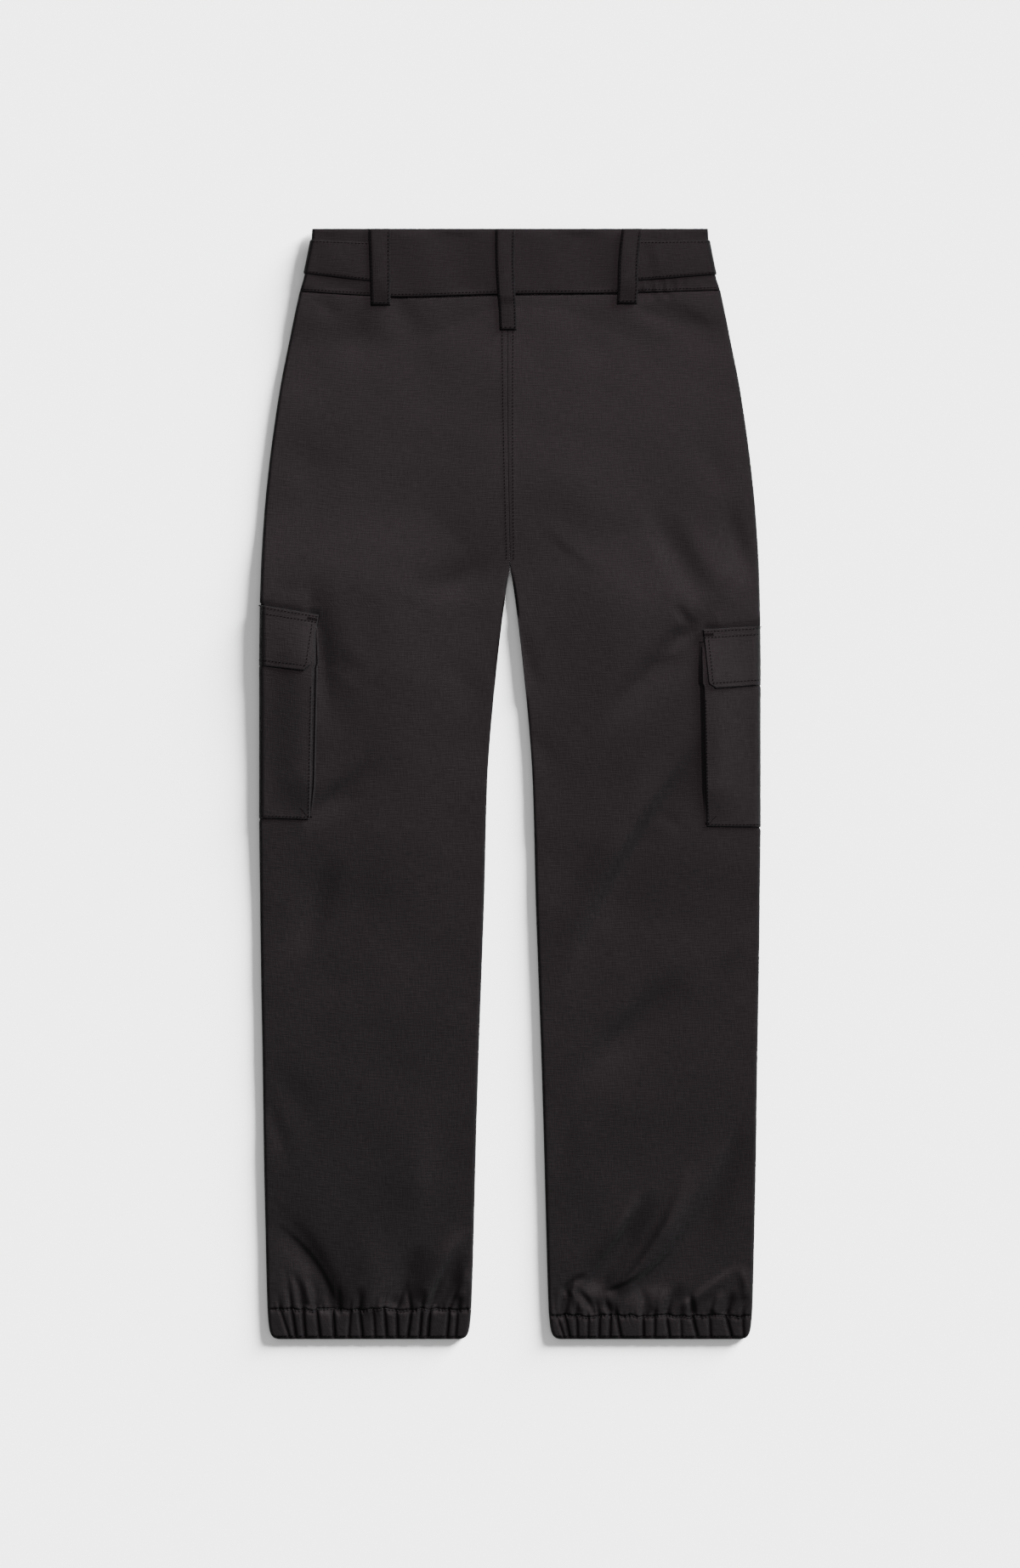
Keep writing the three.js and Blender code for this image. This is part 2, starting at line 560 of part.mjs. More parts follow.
// Stations across the front, with one at each end of the ramps beside the fly and the pocket
function frontStations(side, y) {
  const start = innerEdge(y) + FOLD_RADIUS;
  const pocketEnd = outlineEdge(y) - POCKET_FRONT_REACH;
  const rampEnd = pocketEnd - LIFT_RAMP;
  const besideFly = side < 0 ? [LIFT_RAMP - FLY.left, 60] : [FLY.right + 1, FLY.right + LIFT_RAMP];
  const beside = y > CROTCH_Y ? besideFly : [lerp(start, rampEnd, 0.33), lerp(start, rampEnd, 0.67)];
  const places = [...beside, rampEnd, pocketEnd, lerp(pocketEnd, outlineEdge(y), 0.5)];
  return [...foldStations, ...places.map((d) => shareAt(side, y, d)), ...outerFoldStations];
}

function frontLeg(side) {
  const heights = [...legHeights(side, FRONT_ROW_STEP), cuffSeam(side) + GAP / 2];
  return wallGeometry(heights.map((y) => legRow(side, y, frontStations(side, y), frontPoint, CLOTH, 0)));
}

// A hem casing is a flattened tube: gathered on the back, flat on the front where it lies on the ground
function cuff(side) {
  const heights = [cuffSeam(side) - GAP / 2, -493, -501, -506.5, HEM_Y];
  const ring = (y, depth) => {
    const back = cuffStations(side, y).map((s) => {
      const { d, rise } = acrossLeg(side, y, s, depth);
      return new THREE.Vector3(side * d, y, lerp(HALF_LOFT, topHeight(side * d, y) - depth, rise));
    });
    const front = plainStations(6).slice(1, -1).map((s) => {
      const { d, rise } = acrossLeg(side, y, s, depth);
      return new THREE.Vector3(side * d, y, lerp(HALF_LOFT, depth, rise));
    });
    return [...inOrder(side, back), ...inOrder(side, front).reverse()];
  };
  return wallGeometry(heights.map((y) => ({ upper: ring(y, 0), lower: ring(y, CLOTH) })), true);
}

// A half of the waistband, over (up = 1) or under (up = -1): a thick band with a rounded upper edge
function waistband(up) {
  const middle = (WAISTBAND_TOP + WAIST_LIFT) / 2 + (up * GAP) / 2;
  const level = up > 0 ? WAISTBAND_TOP : WAIST_LIFT;
  const round = [
    { in: 0, share: 0.45 },
    { in: 0.6, share: 0.8 },
    { in: 1.8, share: 1 },
    { in: 10, share: 1 },
    { in: 27, share: 1 },
    { in: 44, share: 1 },
    { in: WAISTBAND_HEIGHT - 1, share: 1 },
    { in: WAISTBAND_HEIGHT, share: 0.75 },
  ];
  const turns = steps(0, Math.PI / 2, 3);
  const flats = steps(-1, 1, 12);
  const rows = round.map(({ in: down, share }) => {
    const point = (across, angle, outside) => {
      const y = WAIST_Y - down;
      const depth = outside ? 0 : WAISTBAND_CLOTH;
      const bend = waistbandEdge(y) - depth - (FOLD_RADIUS - depth) * (1 - Math.cos(angle));
      const flat = Math.abs(across) * (waistbandEdge(y) - FOLD_RADIUS);
      const x = Math.sign(across) * (angle < Math.PI / 2 ? bend : flat);
      const half = WAISTBAND_CLOTH / 2;
      const z = level - up * (half + (outside ? -1 : 1) * half * share);
      const follow = y + waistbandRise(x) * smoothstep(WAIST_Y - 44, WAISTBAND_Y, y);
      return new THREE.Vector3(x, follow, lerp(middle, z, Math.sin(angle)));
    };
    const surface = (outside) => [
      ...turns.slice(0, -1).map((angle) => point(-1, angle, outside)),
      ...flats.map((across) => point(across, Math.PI / 2, outside)),
      ...turns.slice(0, -1).reverse().map((angle) => point(1, angle, outside)),
    ];
    return { upper: surface(up > 0), lower: surface(up < 0) };
  });
  return wallGeometry(rows);
}

// A belt loop lies over the waistband and drops to the panel below it, where its end is sewn down
function beltLoop(loop) {
  const out = loop.overStrap ? GAP + STRAP_CLOTH + GAP : GAP;
  const edge = WAISTBAND_Y + waistbandRise(loop.bottomX);
  const ys = [WAIST_Y - 0.4, WAIST_Y - 2, ...steps(WAIST_Y - 14, edge + 12, 3), edge + 4];
  ys.push(edge - LOOP_DROP_START);
  ys.push(edge - (LOOP_DROP_START + LOOP_DROP_END) / 2);
  ys.push(...steps(edge - LOOP_DROP_END, loop.bottomY, loop.overStrap ? 1 : 3));
  const rows = ys.map((y) => {
    const down = (WAIST_Y - y) / (WAIST_Y - loop.bottomY);
    const middle = lerp(loop.topX, loop.bottomX, down);
    const half = lerp(loop.topWidth, loop.bottomWidth, down) / 2;
    const over = smoothstep(edge - LOOP_DROP_END, edge - LOOP_DROP_START, y);
    const surface = (raised, inset) => steps(-1, 1, 4).map((across) => {
      const x = middle + across * (half - inset);
      const panel = topHeight(x, Math.min(y, edge - 2)) + GAP;
      return new THREE.Vector3(x, y, lerp(panel, WAISTBAND_TOP + out, over) + raised);
    });
    return { upper: surface(LOOP_CLOTH, 0.4), lower: surface(0, 0) };
  });
  return wallGeometry(rows);
}

// Stations round a fold, from a reach on the back to a reach on the front
function wrapStations(backReach, frontReach, backSteps, frontSteps) {
  const quarter = (FOLD_RADIUS * Math.PI) / 2;
  return [
    ...steps(backReach, quarter, backSteps),
    ...steps(quarter, -quarter, 6).slice(1, -1),
    ...steps(-quarter, -frontReach, frontSteps),
  ];
}

function strap(spec) {
  const stations = wrapStations(spec.backReach, spec.frontReach, 5, 4);
  const tip = spec.frontReach - 14;
  const surface = (down, out) => inOrder(spec.side, stations.map((q) => {
    const inwards = THREE.MathUtils.clamp(q / spec.backReach, 0, 1);
    const top = lerp(spec.foldTop, spec.loopTop, inwards);
    const bottom = lerp(spec.foldBottom, spec.loopBottom, inwards);
    const narrowed = 7 * smoothstep(tip, spec.frontReach, -q);
    return roundWaistband(spec.side, q, lerp(top - narrowed, bottom + narrowed, down), out);
  }));
  const row = (down) => ({ upper: surface(down, GAP + STRAP_CLOTH), lower: surface(down, GAP) });
  return wallGeometry(steps(0, 1, 3).map(row));
}

// Heights of a pocket's edges at q, which run level again a little way onto the front
const pocketEdge = (height, slope, q) => height + slope * Math.max(q, -25);

// How far the folded gusset lifts the pocket near its edge on the back
function bellowsLift(pocket, q, y) {
  const low = pocketEdge(pocket.bagBottom, pocket.bagBottomSlope, q);
  const beside = smoothstep(pocket.bagReachBottom - 30, pocket.bagReachBottom - 13, q);
  return BELLOWS_LIFT * beside * smoothstep(low, low + 12, y);
}

function pocketBag(pocket) {
  const top = pocket.flapTop - POCKET_MOUTH;
  const downAt = (y) => (top - y) / (top - pocket.bagBottom);
  const ramp = [0.5, 3, 6, 6 + LIFT_RAMP, 11 + LIFT_RAMP].map((below) => downAt(pocket.flapBottom - below));
  const rows = [0, 0.07, 0.18, ...ramp, 0.5, 0.7, 0.88, 0.94, 1].map((down) => {
    const backReach = lerp(pocket.bagReachTop, pocket.bagReachBottom, down);
    const stations = wrapStations(backReach, POCKET_FRONT_REACH, 6, 4);
    const surface = (out) => inOrder(pocket.side, stations.map((q) => {
      const top = pocketEdge(pocket.flapTop, pocket.flapTopSlope, q) - POCKET_MOUTH;
      const bottom = pocketEdge(pocket.bagBottom, pocket.bagBottomSlope, q);
      const y = lerp(top, bottom, down);
      return roundLeg(pocket.side, q, y, out + bellowsLift(pocket, q, y));
    }));
    return { upper: surface(GAP + CLOTH), lower: surface(GAP) };
  });
  return wallGeometry(rows);
}

function pocketGusset(pocket) {
  const rows = steps(0, 1, 9).map((down) => {
    const edge = lerp(pocket.bagReachTop, pocket.bagReachBottom, down);
    const stations = steps(edge + pocket.gussetShows, edge - GUSSET_TUCK, 3);
    const surface = (out) => inOrder(pocket.side, stations.map((q) => {
      const top = pocketEdge(pocket.flapTop, pocket.flapTopSlope, q) - POCKET_MOUTH - 3;
      const bottom = pocketEdge(pocket.bagBottom, pocket.bagBottomSlope, q) + 15;
      return roundLeg(pocket.side, q, lerp(top, bottom, down), out);
    }));
    return { upper: surface(GUSSET_CLOTH), lower: surface(GAP) };
  });
  return wallGeometry(rows);
}

function pocketFlap(pocket) {
  const rows = [0, 0.06, 0.13, 0.35, 0.6, 0.85, 0.96, 1].map((down) => {
    const corner = 4 * smoothstep(0.85, 1, down) ** 2;
    const backReach = lerp(pocket.flapReachTop, pocket.flapReachBottom, down) - corner;
    const sewn = smoothstep(0, 0.13, down);
    const stations = wrapStations(backReach, POCKET_FRONT_REACH - 1, 6, 4);
    const surface = (out) => inOrder(pocket.side, stations.map((q) => {
      const top = pocketEdge(pocket.flapTop, pocket.flapTopSlope, q);
      const bottom = pocketEdge(pocket.flapBottom, pocket.flapBottomSlope, q);
      const y = lerp(top, bottom, down);
      return roundLeg(pocket.side, q, y, out + sewn * (LAYER + bellowsLift(pocket, q, y)));
    }));
    return { upper: surface(GAP + CLOTH), lower: surface(GAP) };
  });
  return wallGeometry(rows);
}

// The fly's outline curves in at its lower end
function fly() {
  const outline = new THREE.Shape();
  const top = WAIST_SEAM_Y + waistbandRise(0);
  const curve = FLY.right - FLY.left;
  outline.moveTo(FLY.left, top);
  outline.lineTo(FLY.left, FLY.bottom);
  outline.quadraticCurveTo(FLY.right, FLY.bottom + curve * 0.2, FLY.right, FLY.bottom + curve);
  outline.lineTo(FLY.right, top);
  outline.closePath();
  const depth = FLY.thickness;
  return new THREE.ExtrudeGeometry(outline, { depth, bevelEnabled: false, curveSegments: 8 });
}

function button() {
  const disc = new THREE.CylinderGeometry(BUTTON.radius, BUTTON.radius, BUTTON.thickness, 24);
  disc.rotateX(Math.PI / 2);
  return disc;
}

function clothFinish(colour) {
  return new THREE.MeshStandardMaterial({ color: colour, roughness: 0.82, metalness: 0 });
}

const trousers = new THREE.Group();

function addPiece(name, geometry, material) {
  const mesh = new THREE.Mesh(geometry, material);
  mesh.name = name;
  trousers.add(mesh);
  return mesh;
}

for (const [name, side] of [["left", -1], ["right", 1]]) {
  addPiece("back_leg_" + name, backLeg(side), clothFinish(0x2b2829));
  addPiece("front_leg_" + name, frontLeg(side), clothFinish(0x2a2829));
  addPiece("cuff_" + name, cuff(side), clothFinish(0x272526));
}
addPiece("waistband_back", waistband(1), clothFinish(0x2b2829));
addPiece("waistband_front", waistband(-1), clothFinish(0x2a2829));
for (const loop of BELT_LOOPS) addPiece("belt_loop_" + loop.name, beltLoop(loop), clothFinish(0x2c292a));
for (const spec of STRAPS) addPiece("waist_strap_" + spec.name, strap(spec), clothFinish(0x2b292a));
for (const pocket of POCKETS) {
  addPiece("pocket_bag_" + pocket.name, pocketBag(pocket), clothFinish(0x2b2829));
  addPiece("pocket_gusset_" + pocket.name, pocketGusset(pocket), clothFinish(0x272526));
  addPiece("pocket_flap_" + pocket.name, pocketFlap(pocket), clothFinish(0x2c292a));
}
addPiece("fly", fly(), clothFinish(0x2a2829));
const resin = new THREE.MeshStandardMaterial({ color: 0x1d1c1d, roughness: 0.45, metalness: 0 });
const buttonPiece = addPiece("waist_button", button(), resin);
buttonPiece.position.set(BUTTON.x, BUTTON.y, BUTTON.thickness / 2);

export default trousers;
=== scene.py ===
# %% [markdown]
# Cargo trousers lie flat on the ground with their back up, seen from straight above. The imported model
# holds every piece of cloth as a plain solid. This script dresses each one in a thin shell of cloth on
# the same measurements, with finer folds, gathers, stitches and weave.

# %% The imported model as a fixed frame
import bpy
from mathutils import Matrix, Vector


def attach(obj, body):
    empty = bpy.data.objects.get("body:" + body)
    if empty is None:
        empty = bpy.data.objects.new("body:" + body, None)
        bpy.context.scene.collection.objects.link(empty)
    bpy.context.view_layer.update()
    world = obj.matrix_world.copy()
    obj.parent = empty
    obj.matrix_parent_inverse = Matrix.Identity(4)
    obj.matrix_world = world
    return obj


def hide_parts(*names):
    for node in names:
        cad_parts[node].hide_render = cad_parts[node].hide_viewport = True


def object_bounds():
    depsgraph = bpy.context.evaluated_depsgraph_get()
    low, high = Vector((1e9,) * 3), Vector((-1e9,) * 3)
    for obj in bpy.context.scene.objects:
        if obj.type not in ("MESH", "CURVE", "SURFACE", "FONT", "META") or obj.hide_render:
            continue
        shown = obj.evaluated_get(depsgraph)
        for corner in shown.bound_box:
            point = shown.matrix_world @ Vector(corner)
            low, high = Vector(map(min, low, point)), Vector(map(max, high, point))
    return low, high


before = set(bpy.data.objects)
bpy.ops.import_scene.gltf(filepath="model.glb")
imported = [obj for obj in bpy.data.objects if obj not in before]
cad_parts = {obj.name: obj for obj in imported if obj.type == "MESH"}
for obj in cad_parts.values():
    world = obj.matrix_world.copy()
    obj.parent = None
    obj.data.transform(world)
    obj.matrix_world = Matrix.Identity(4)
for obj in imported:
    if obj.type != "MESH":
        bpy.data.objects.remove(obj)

# %% Units and the garment's box
from types import SimpleNamespace

import bpy
import numpy as np

MM = 0.001
low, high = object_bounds()
LENGTH = round((high[1] - low[1]) / MM)
WAIST_Y = LENGTH / 2
HEM_Y = -LENGTH / 2

# %% [markdown]
# A pattern cutter's sizes come first, in millimetres. They are the solids' sizes, so each shell lands on
# its own solid, but the cloth of the legs, straps and loops is drawn thinner than the solids' walls. The
# tables have a row for each height where the outline is measured.

# %% Sizes of the cloth and its layers
WAISTBAND_HEIGHT = 60
WAISTBAND_Y = WAIST_Y - WAISTBAND_HEIGHT
WAIST_SEAM_Y = WAISTBAND_Y - 0.6
CROTCH_Y = 203
CUFF_SEAM = {-1: HEM_Y + 27.5, 1: HEM_Y + 21.5}
CLOTH = 1.2
GAP = 0.3
LAYER = CLOTH + GAP
SHELL = 0.7
WAISTBAND_CLOTH = 2.6
STRAP_CLOTH = 1.4
STRAP_STRIP = 0.9
LOOP_CLOTH = 1.3
GUSSET_CLOTH = 2.2
LOFT = 5.6
FOLD_RADIUS = 3
QUARTER_TURN = FOLD_RADIUS * np.pi / 2
WAIST_LIFT = STRAP_CLOTH + GAP
WAISTBAND_SLACK = 1.2
WAISTBAND_TOP = WAIST_LIFT + 2 * WAISTBAND_CLOTH + WAISTBAND_SLACK
LIFT_RAMP = 10
SOFT_LIFT_RAMP = 90
FOLD_SHARE = 0.06


def table(columns, rows):
    """Rows of numbers as an array for each named column. What a row leaves out at its end is 0."""
    names = columns.split()
    padded = [row + (0,) * (len(names) - len(row)) for row in rows]
    return dict(zip(names, np.array(padded, dtype=float).T))


def named_rows(columns, rows):
    """An object with named sizes for each key's row."""
    return {key: SimpleNamespace(**dict(zip(columns.split(), row))) for key, row in rows.items()}


LEG_OUTLINE = table("y outer inner", [
    (460, 190, 0.15), (448, 193, 0.15), (408, 202, 0.15), (368, 210, 0.15), (330, 216, 0.15),
    (290, 221.2, 0.15), (252, 225, 0.15), (CROTCH_Y, 228.2, 0.15), (181, 229, 3.1), (142, 229.7, 8.2),
    (103, 230, 12.5), (50, 230, 17.6), (10, 230, 20.4), (-30, 230, 21.8), (-100, 229.3, 23.4),
    (-178, 228.3, 26.1), (-256, 226.9, 28.9), (-334, 225.8, 31.2), (-412, 224.2, 33.2),
    (-482, 222.4, 35.4), (-494, 221.5, 36.4), (-501, 220.5, 37.5), (-505.5, 218.8, 39.3),
    (-508, 216.4, 41.8), (HEM_Y, 213, 45),
])
WAISTBAND_OUTLINE = table("y outer", [(445, 193.6), (465, 188.8), (499, 182), (WAIST_Y, 181.6)])
WAISTBAND_EDGE = table("x rise", [
    (-194, 2.4), (-130, -1.5), (-100, -2.6), (-10, -0.2), (100, 1), (194, 3.6),
])
CENTRE_SEAM = table("y x", [(449, -2.3), (400, -2.3), (300, -1.6), (215, 0)])
print("half widths from", LEG_OUTLINE["outer"].min(), "to", LEG_OUTLINE["outer"].max(), "mm")

# %% [markdown]
# A row of the folds is one soft crest or trough from one end to the other: its width, its height, how
# far it bows sideways and how steep one slope is. Real folds are uneven, so every row is given one by
# one:
# first the large ones, which the solids have too, then finer ones.

# %% Folds and gathers
FOLDS = table("x1 y1 x2 y2 width height bow steep", [
    (-122, 470, -76, 396, 13, -0.8), (-1, 210, -98, 172, 14, -1.3, -4),
    (-186, 212, -152, 20, 12, -1, -6), (-204, -44, -118, 28, 10, -1.6, 3, -0.3),
    (-160, -58, -206, -170, 14, -2.1, -5), (-226, -246, -176, -334, 15, -0.6, -3),
    (-222, -400, -157, -492, 6, -1.5, -11, -0.5), (-222, -384, -155, -504, 17, -2.1, -10, -0.4),
    (-132, -390, -126, -500, 18, 1.4), (-78, -420, -110, -486, 10, -2.8, 2, 0.1),
    (-34, -404, -81, -478, 6.5, 2.3, 5, -0.4), (-43, -428, -75, -486, 6.5, -3.1, -3, 0.2),
    (92, 466, 196, 394, 13, -1.1, -2), (22, 250, 92, 192, 8, 0.45, 3, 0.3),
    (122, 272, 192, 148, 14, -1.6, 4, 0.2), (146, 262, 212, 158, 12, 0.8, 4),
    (198, 268, 222, 176, 11, -1.5, 3), (206, 174, 78, 38, 14, -2.6, 8, 0.3),
    (202, 60, 48, -204, 15, -2.9, 13, 0.3), (176, -162, 54, -292, 17, -2.8, 5, 0.3),
    (216, -302, 106, -478, 12, -4, -16, 0.4), (170, -340, 88, -478, 8, 3.4, -11, 0.2),
    (130, -370, 68, -468, 9, -4.2, -3, 0.35), (214, -438, 153, -484, 4.5, 1.6, 0, 0.3),
])
FINE_FOLDS = table("x1 y1 x2 y2 width height bow steep", [
    (-186, 448, -150, 424, 9, -0.5), (-128, 436, -150, 396, 12, -0.3, -3),
    (-160, 420, -120, 384, 16, -0.4), (-200, 330, -168, 250, 18, -0.5), (-196, 36, -186, -40, 5, 0.5),
    (-185, 188, -168, 40, 13, -2.5, -2, -0.2), (-168, 118, -128, 92, 9, -0.5, -2),
    (-84, -276, -96, -446, 24, 1.3, 0, -0.3), (-230, -268, -198, -364, 8, -0.7),
    (-172, -24, -120, -8, 8, -0.3, -2), (-190, -18, -156, 30, 5, 0.3, 2),
    (-150, -150, -190, -210, 16, -0.5, -4), (-60, 120, -24, 60, 14, -0.5),
    (-202, -444, -188, -484, 3.6, -1.5, -2, 0.3), (-184, -448, -175, -484, 3.8, -1.4, -1, 0.2),
    (-190, -450, -184, -478, 4, 0.8), (-158, -458, -157, -488, 2.6, -1.2),
    (-136, -460, -140, -484, 4.5, -1.2), (-104, -466, -111, -488, 3, -1.4),
    (-62, -452, -79, -484, 3.5, -0.8), (-40, -438, -48, -474, 5, 1, -2),
    (-44, -470, -54, -488, 3.2, -1.1, -1), (124, 462, 132, 442, 4, -0.6), (142, 458, 146, 442, 4, -0.6),
    (108, 436, 150, 420, 7, -0.6, -2), (150, 430, 196, 414, 8, -0.5), (60, 420, 90, 380, 12, -0.4),
    (170, 330, 206, 250, 12, -0.5), (172, 140, 150, 168, 5, -0.9, -2), (176, 142, 140, 132, 5, -0.7),
    (170, 128, 120, 116, 6, 0.6, -3), (6, 150, 25, 70, 8, -0.7, -2), (8, 60, 46, 10, 10, -0.4),
    (168, -46, 128, -20, 6, -0.3), (187, 69, 33, -196, 14, 2.5, 13, -0.3),
    (228, -112, 190, -176, 7, 0.7, -3), (124, -366, 66, -446, 7, 1.9, -5),
    (152, -426, 84, -468, 6, -2.3, -6, 0.6), (60, -300, 40, -380, 10, -0.5),
    (88, -440, 76, -484, 8, -1.1), (74, -449, 47, -468, 3.4, -1.7, 3, 0.3),
    (55, -452, 46, -496, 3.4, -1.5, 3, 0.3), (66, -452, 55, -470, 3.4, 0.8, 2),
    (55, -462, 68, -484, 3.6, 0.6, 1), (59, -461, 79, -490, 3, -1.5, -2),
    (87, -474, 96, -488, 2.8, -1.2), (118, -456, 125, -492, 4, -1.6, -1, 0.4),
    (158, -456, 140, -490, 5.5, -1.6, 0, 0.4), (144, -460, 132, -484, 3.6, 0.7),
    (164, -466, 169, -488, 2.8, -1.5), (205, -464, 195, -488, 4, -1.7, 0, 0.3),
    (195, -462, 185, -486, 4, 0.9), (209, -440, 216, -474, 4.5, 1.1, -3),
])
GATHERS = table("seam hem depth reach lean", [
    (-211, -202, 0.9, 18, -2), (-200.5, -196.5, 1.9, 44, -6), (-190.5, -188, 2, 22, -6),
    (-178, -174.5, 1.9, 20, -4), (-163, -161, 2.3, 30, -7), (-146.5, -148.5, 1.3, 12, 1),
    (-138.5, -135.5, 1.7, 16, 2), (-125.5, -124, 1.2, 14, 6), (-115.5, -113.5, 1.8, 20, 3),
    (-104.5, -103.5, 1.9, 34, 12), (-91, -94.5, 2, 24, -4), (-81.5, -83.5, 1.8, 18, 4),
    (-74, -76, 2.3, 60, 26), (-56, -58.5, 1.9, 30, 12), (-48.5, -50.5, 1.4, 16, 4),
    (42.5, 50, 1, 30, -3), (50, 54.5, 1.9, 40, 8), (60.5, 61.5, 1.7, 26, 3), (71.5, 71, 1.4, 16, -2),
    (81.5, 81, 2, 20, -4), (91.5, 91, 1.8, 24, -6), (97.5, 101.5, 1.9, 14, -2),
    (121.5, 122, 2.1, 22, -4), (132.5, 132, 1.8, 16, 3), (143, 146, 1.8, 34, 8), (156, 157, 1.2, 14, 2),
    (166.5, 172, 2.2, 26, -1), (182.5, 183.5, 1.6, 22, 6), (197.5, 203.5, 2.2, 22, 7),
    (212.5, 214, 1.4, 20, 3),
])
GATHER_WIDTH = 1.7
GATHER_PULL = {-1: 1.25, 1: 1}
print("folds", len(FOLDS["x1"]), "and", len(FINE_FOLDS["x1"]), "gathers", len(GATHERS["seam"]))

# %% [markdown]
# The pockets, loops and straps have a few sizes each. A pocket's edges are given at the outer fold of the
# leg, with a slope inwards from there. A reach is a distance from that fold, measured round the cloth.

# %% Pockets, loops, straps and fly
POCKETS = named_rows(
    "flap_top flap_top_slope flap_bottom flap_bottom_slope bag_bottom bag_bottom_slope "
    "flap_reach_top flap_reach_bottom bag_reach_top bag_reach_bottom gusset_shows", {
        -1: (164, -0.17, 108.5, -0.12, -31.5, -0.03, 53, 45.5, 50.5, 47, 4.2),
        1: (144.6, -0.06, 90.5, -0.08, -39.8, 0.01, 52, 46.5, 53.5, 50, 3.4),
    })
FRONT_REACH = 112
POCKET_MOUTH = 8
GUSSET_TUCK = 8
BAG_CUT = 163
FLAP_CUT = 162
BELLOWS_LIFT = GUSSET_CLOTH + GAP
LOOPS = named_rows("top_x bottom_x bottom_y top_width bottom_width shift bow strap", {
    "left": (-119.3, -118.2, 438.6, 20.2, 18, 0.4, 0, True),
    "centre": (-4.4, -1.7, 416, 18.2, 15.6, 0, 1.2, False),
    "right": (111.7, 107.1, 440, 18.4, 18.8, 0, 1.2, True),
})
STRAPS = named_rows("fold_top fold_bottom loop_top loop_bottom back_reach front_reach puff", {
    -1: (499, 468, 496.6, 460, 68, 82, 0.2),
    1: (498.6, 467, 498, 461, 75, 82, 0.8),
})
FLY = SimpleNamespace(left=-4, right=34, bottom=284)
SIDES = {-1: "left", 1: "right"}
print("pockets", len(POCKETS), "loops", len(LOOPS), "straps", len(STRAPS))


# %% [markdown]
# All the shapes are heights over the ground plan, worked out by a few functions on whole grids of points.
# This keeps the layers from cutting through each other: what lies on a panel is made from the panel's own
# height, moved out.

# %% Curves through tables
def lerp(start, end, share):
    return start + (end - start) * share


def ease(start, end, value):
    """A soft step from 0 at the start to 1 at the end, whichever of them is lower."""
    t = np.clip((value - start) / (end - start), 0, 1)
    return t * t * (3 - 2 * t)


def bell(value):
    return np.exp(-(value ** 2))


def grid(x, y, z):
    """A grid of points from coordinates that may be grids, rows or single numbers."""
    return np.stack(np.broadcast_arrays(x, y, z), axis=-1)


def read_table(rows, key, column, at):
    """A smooth curve through a table's rows that never overshoots them."""
    keys, values = rows[key], rows[column]
    if keys[0] > keys[-1]:
        keys, values = keys[::-1], values[::-1]
    rates = np.diff(values) / np.diff(keys)
    before, after = rates[:-1], rates[1:]
    bends = before * after > 0
    inner = np.where(bends, 2 * before * after / np.where(bends, before + after, 1), 0)
    slopes = np.concatenate([rates[:1], inner, rates[-1:]])
    at = np.clip(at, keys[0], keys[-1])
    i = np.clip(np.searchsorted(keys, at, side="right") - 1, 0, len(keys) - 2)
    span = keys[i + 1] - keys[i]
    t = (at - keys[i]) / span
    u = 1 - t
    through = values[i] * (1 + 2 * t) * u * u + values[i + 1] * (3 - 2 * t) * t * t
    return through + slopes[i] * span * t * u * u - slopes[i + 1] * span * t * t * u


# %% The ground plan and what lies under the front
def pocket_layers(pocket, y, ramp):
    top = 1 - ease(pocket.flap_top + 6, pocket.flap_top + 6 + ramp, y)
    bag_low = pocket.bag_bottom - 4
    flap_low = pocket.flap_bottom - 6
    return top * (ease(bag_low - ramp, bag_low, y) + ease(flap_low - ramp, flap_low, y))


def inner_edge(y):
    return read_table(LEG_OUTLINE, "y", "inner", y)


def outline_edge(y):
    return read_table(LEG_OUTLINE, "y", "outer", y)


def outer_edge(side, y):
    """The leg's fold draws in under its pocket, so that the pocket lies flush with the outline."""
    pocket = POCKETS[side]
    below_top = 1 - ease(pocket.flap_top - 1.4, pocket.flap_top + 0.8, y)
    layers = ease(pocket.bag_bottom - 1.2, pocket.bag_bottom + 1, y)
    layers = layers + ease(pocket.flap_bottom - 1.2, pocket.flap_bottom + 1, y)
    return outline_edge(y) - LAYER * below_top * layers


def waistband_edge(y):
    return np.interp(y, WAISTBAND_OUTLINE["y"], WAISTBAND_OUTLINE["outer"])


def waistband_rise(x):
    return read_table(WAISTBAND_EDGE, "x", "rise", x)


def lift_at(side, x, y, ramp):
    """How high the front lies over the pockets, the fly and the straps that are under it."""
    inboard = outline_edge(y) - side * x
    beside_pocket = 1 - ease(FRONT_REACH, FRONT_REACH + ramp, inboard)
    pocket_lift = LAYER * pocket_layers(POCKETS[side], y, ramp) * beside_pocket
    fly_across = ease(FLY.left - ramp, FLY.left - 1, x)
    fly_across = fly_across * (1 - ease(FLY.right + 1, FLY.right + ramp, x))
    fly_lift = LAYER * fly_across * ease(FLY.bottom - ramp, FLY.bottom - 1, y)
    waist_lift = WAIST_LIFT * ease(WAISTBAND_Y - 50, WAIST_SEAM_Y, y)
    return np.maximum(np.maximum(pocket_lift, fly_lift), waist_lift)


# %% [markdown]
# The back's upper side is the part that the camera sees. To the plain loft it adds the folds, a slight
# rumple everywhere, the grooves of the gathered hem and the ditches of the hem's and the flaps' seams.
# The rumple is a sum of a few long waves, because unpressed cotton is never quite level.

# %% Folds and gathers as heights
FOLDS_INTO_HEM_Y = CUFF_SEAM[-1] + 20


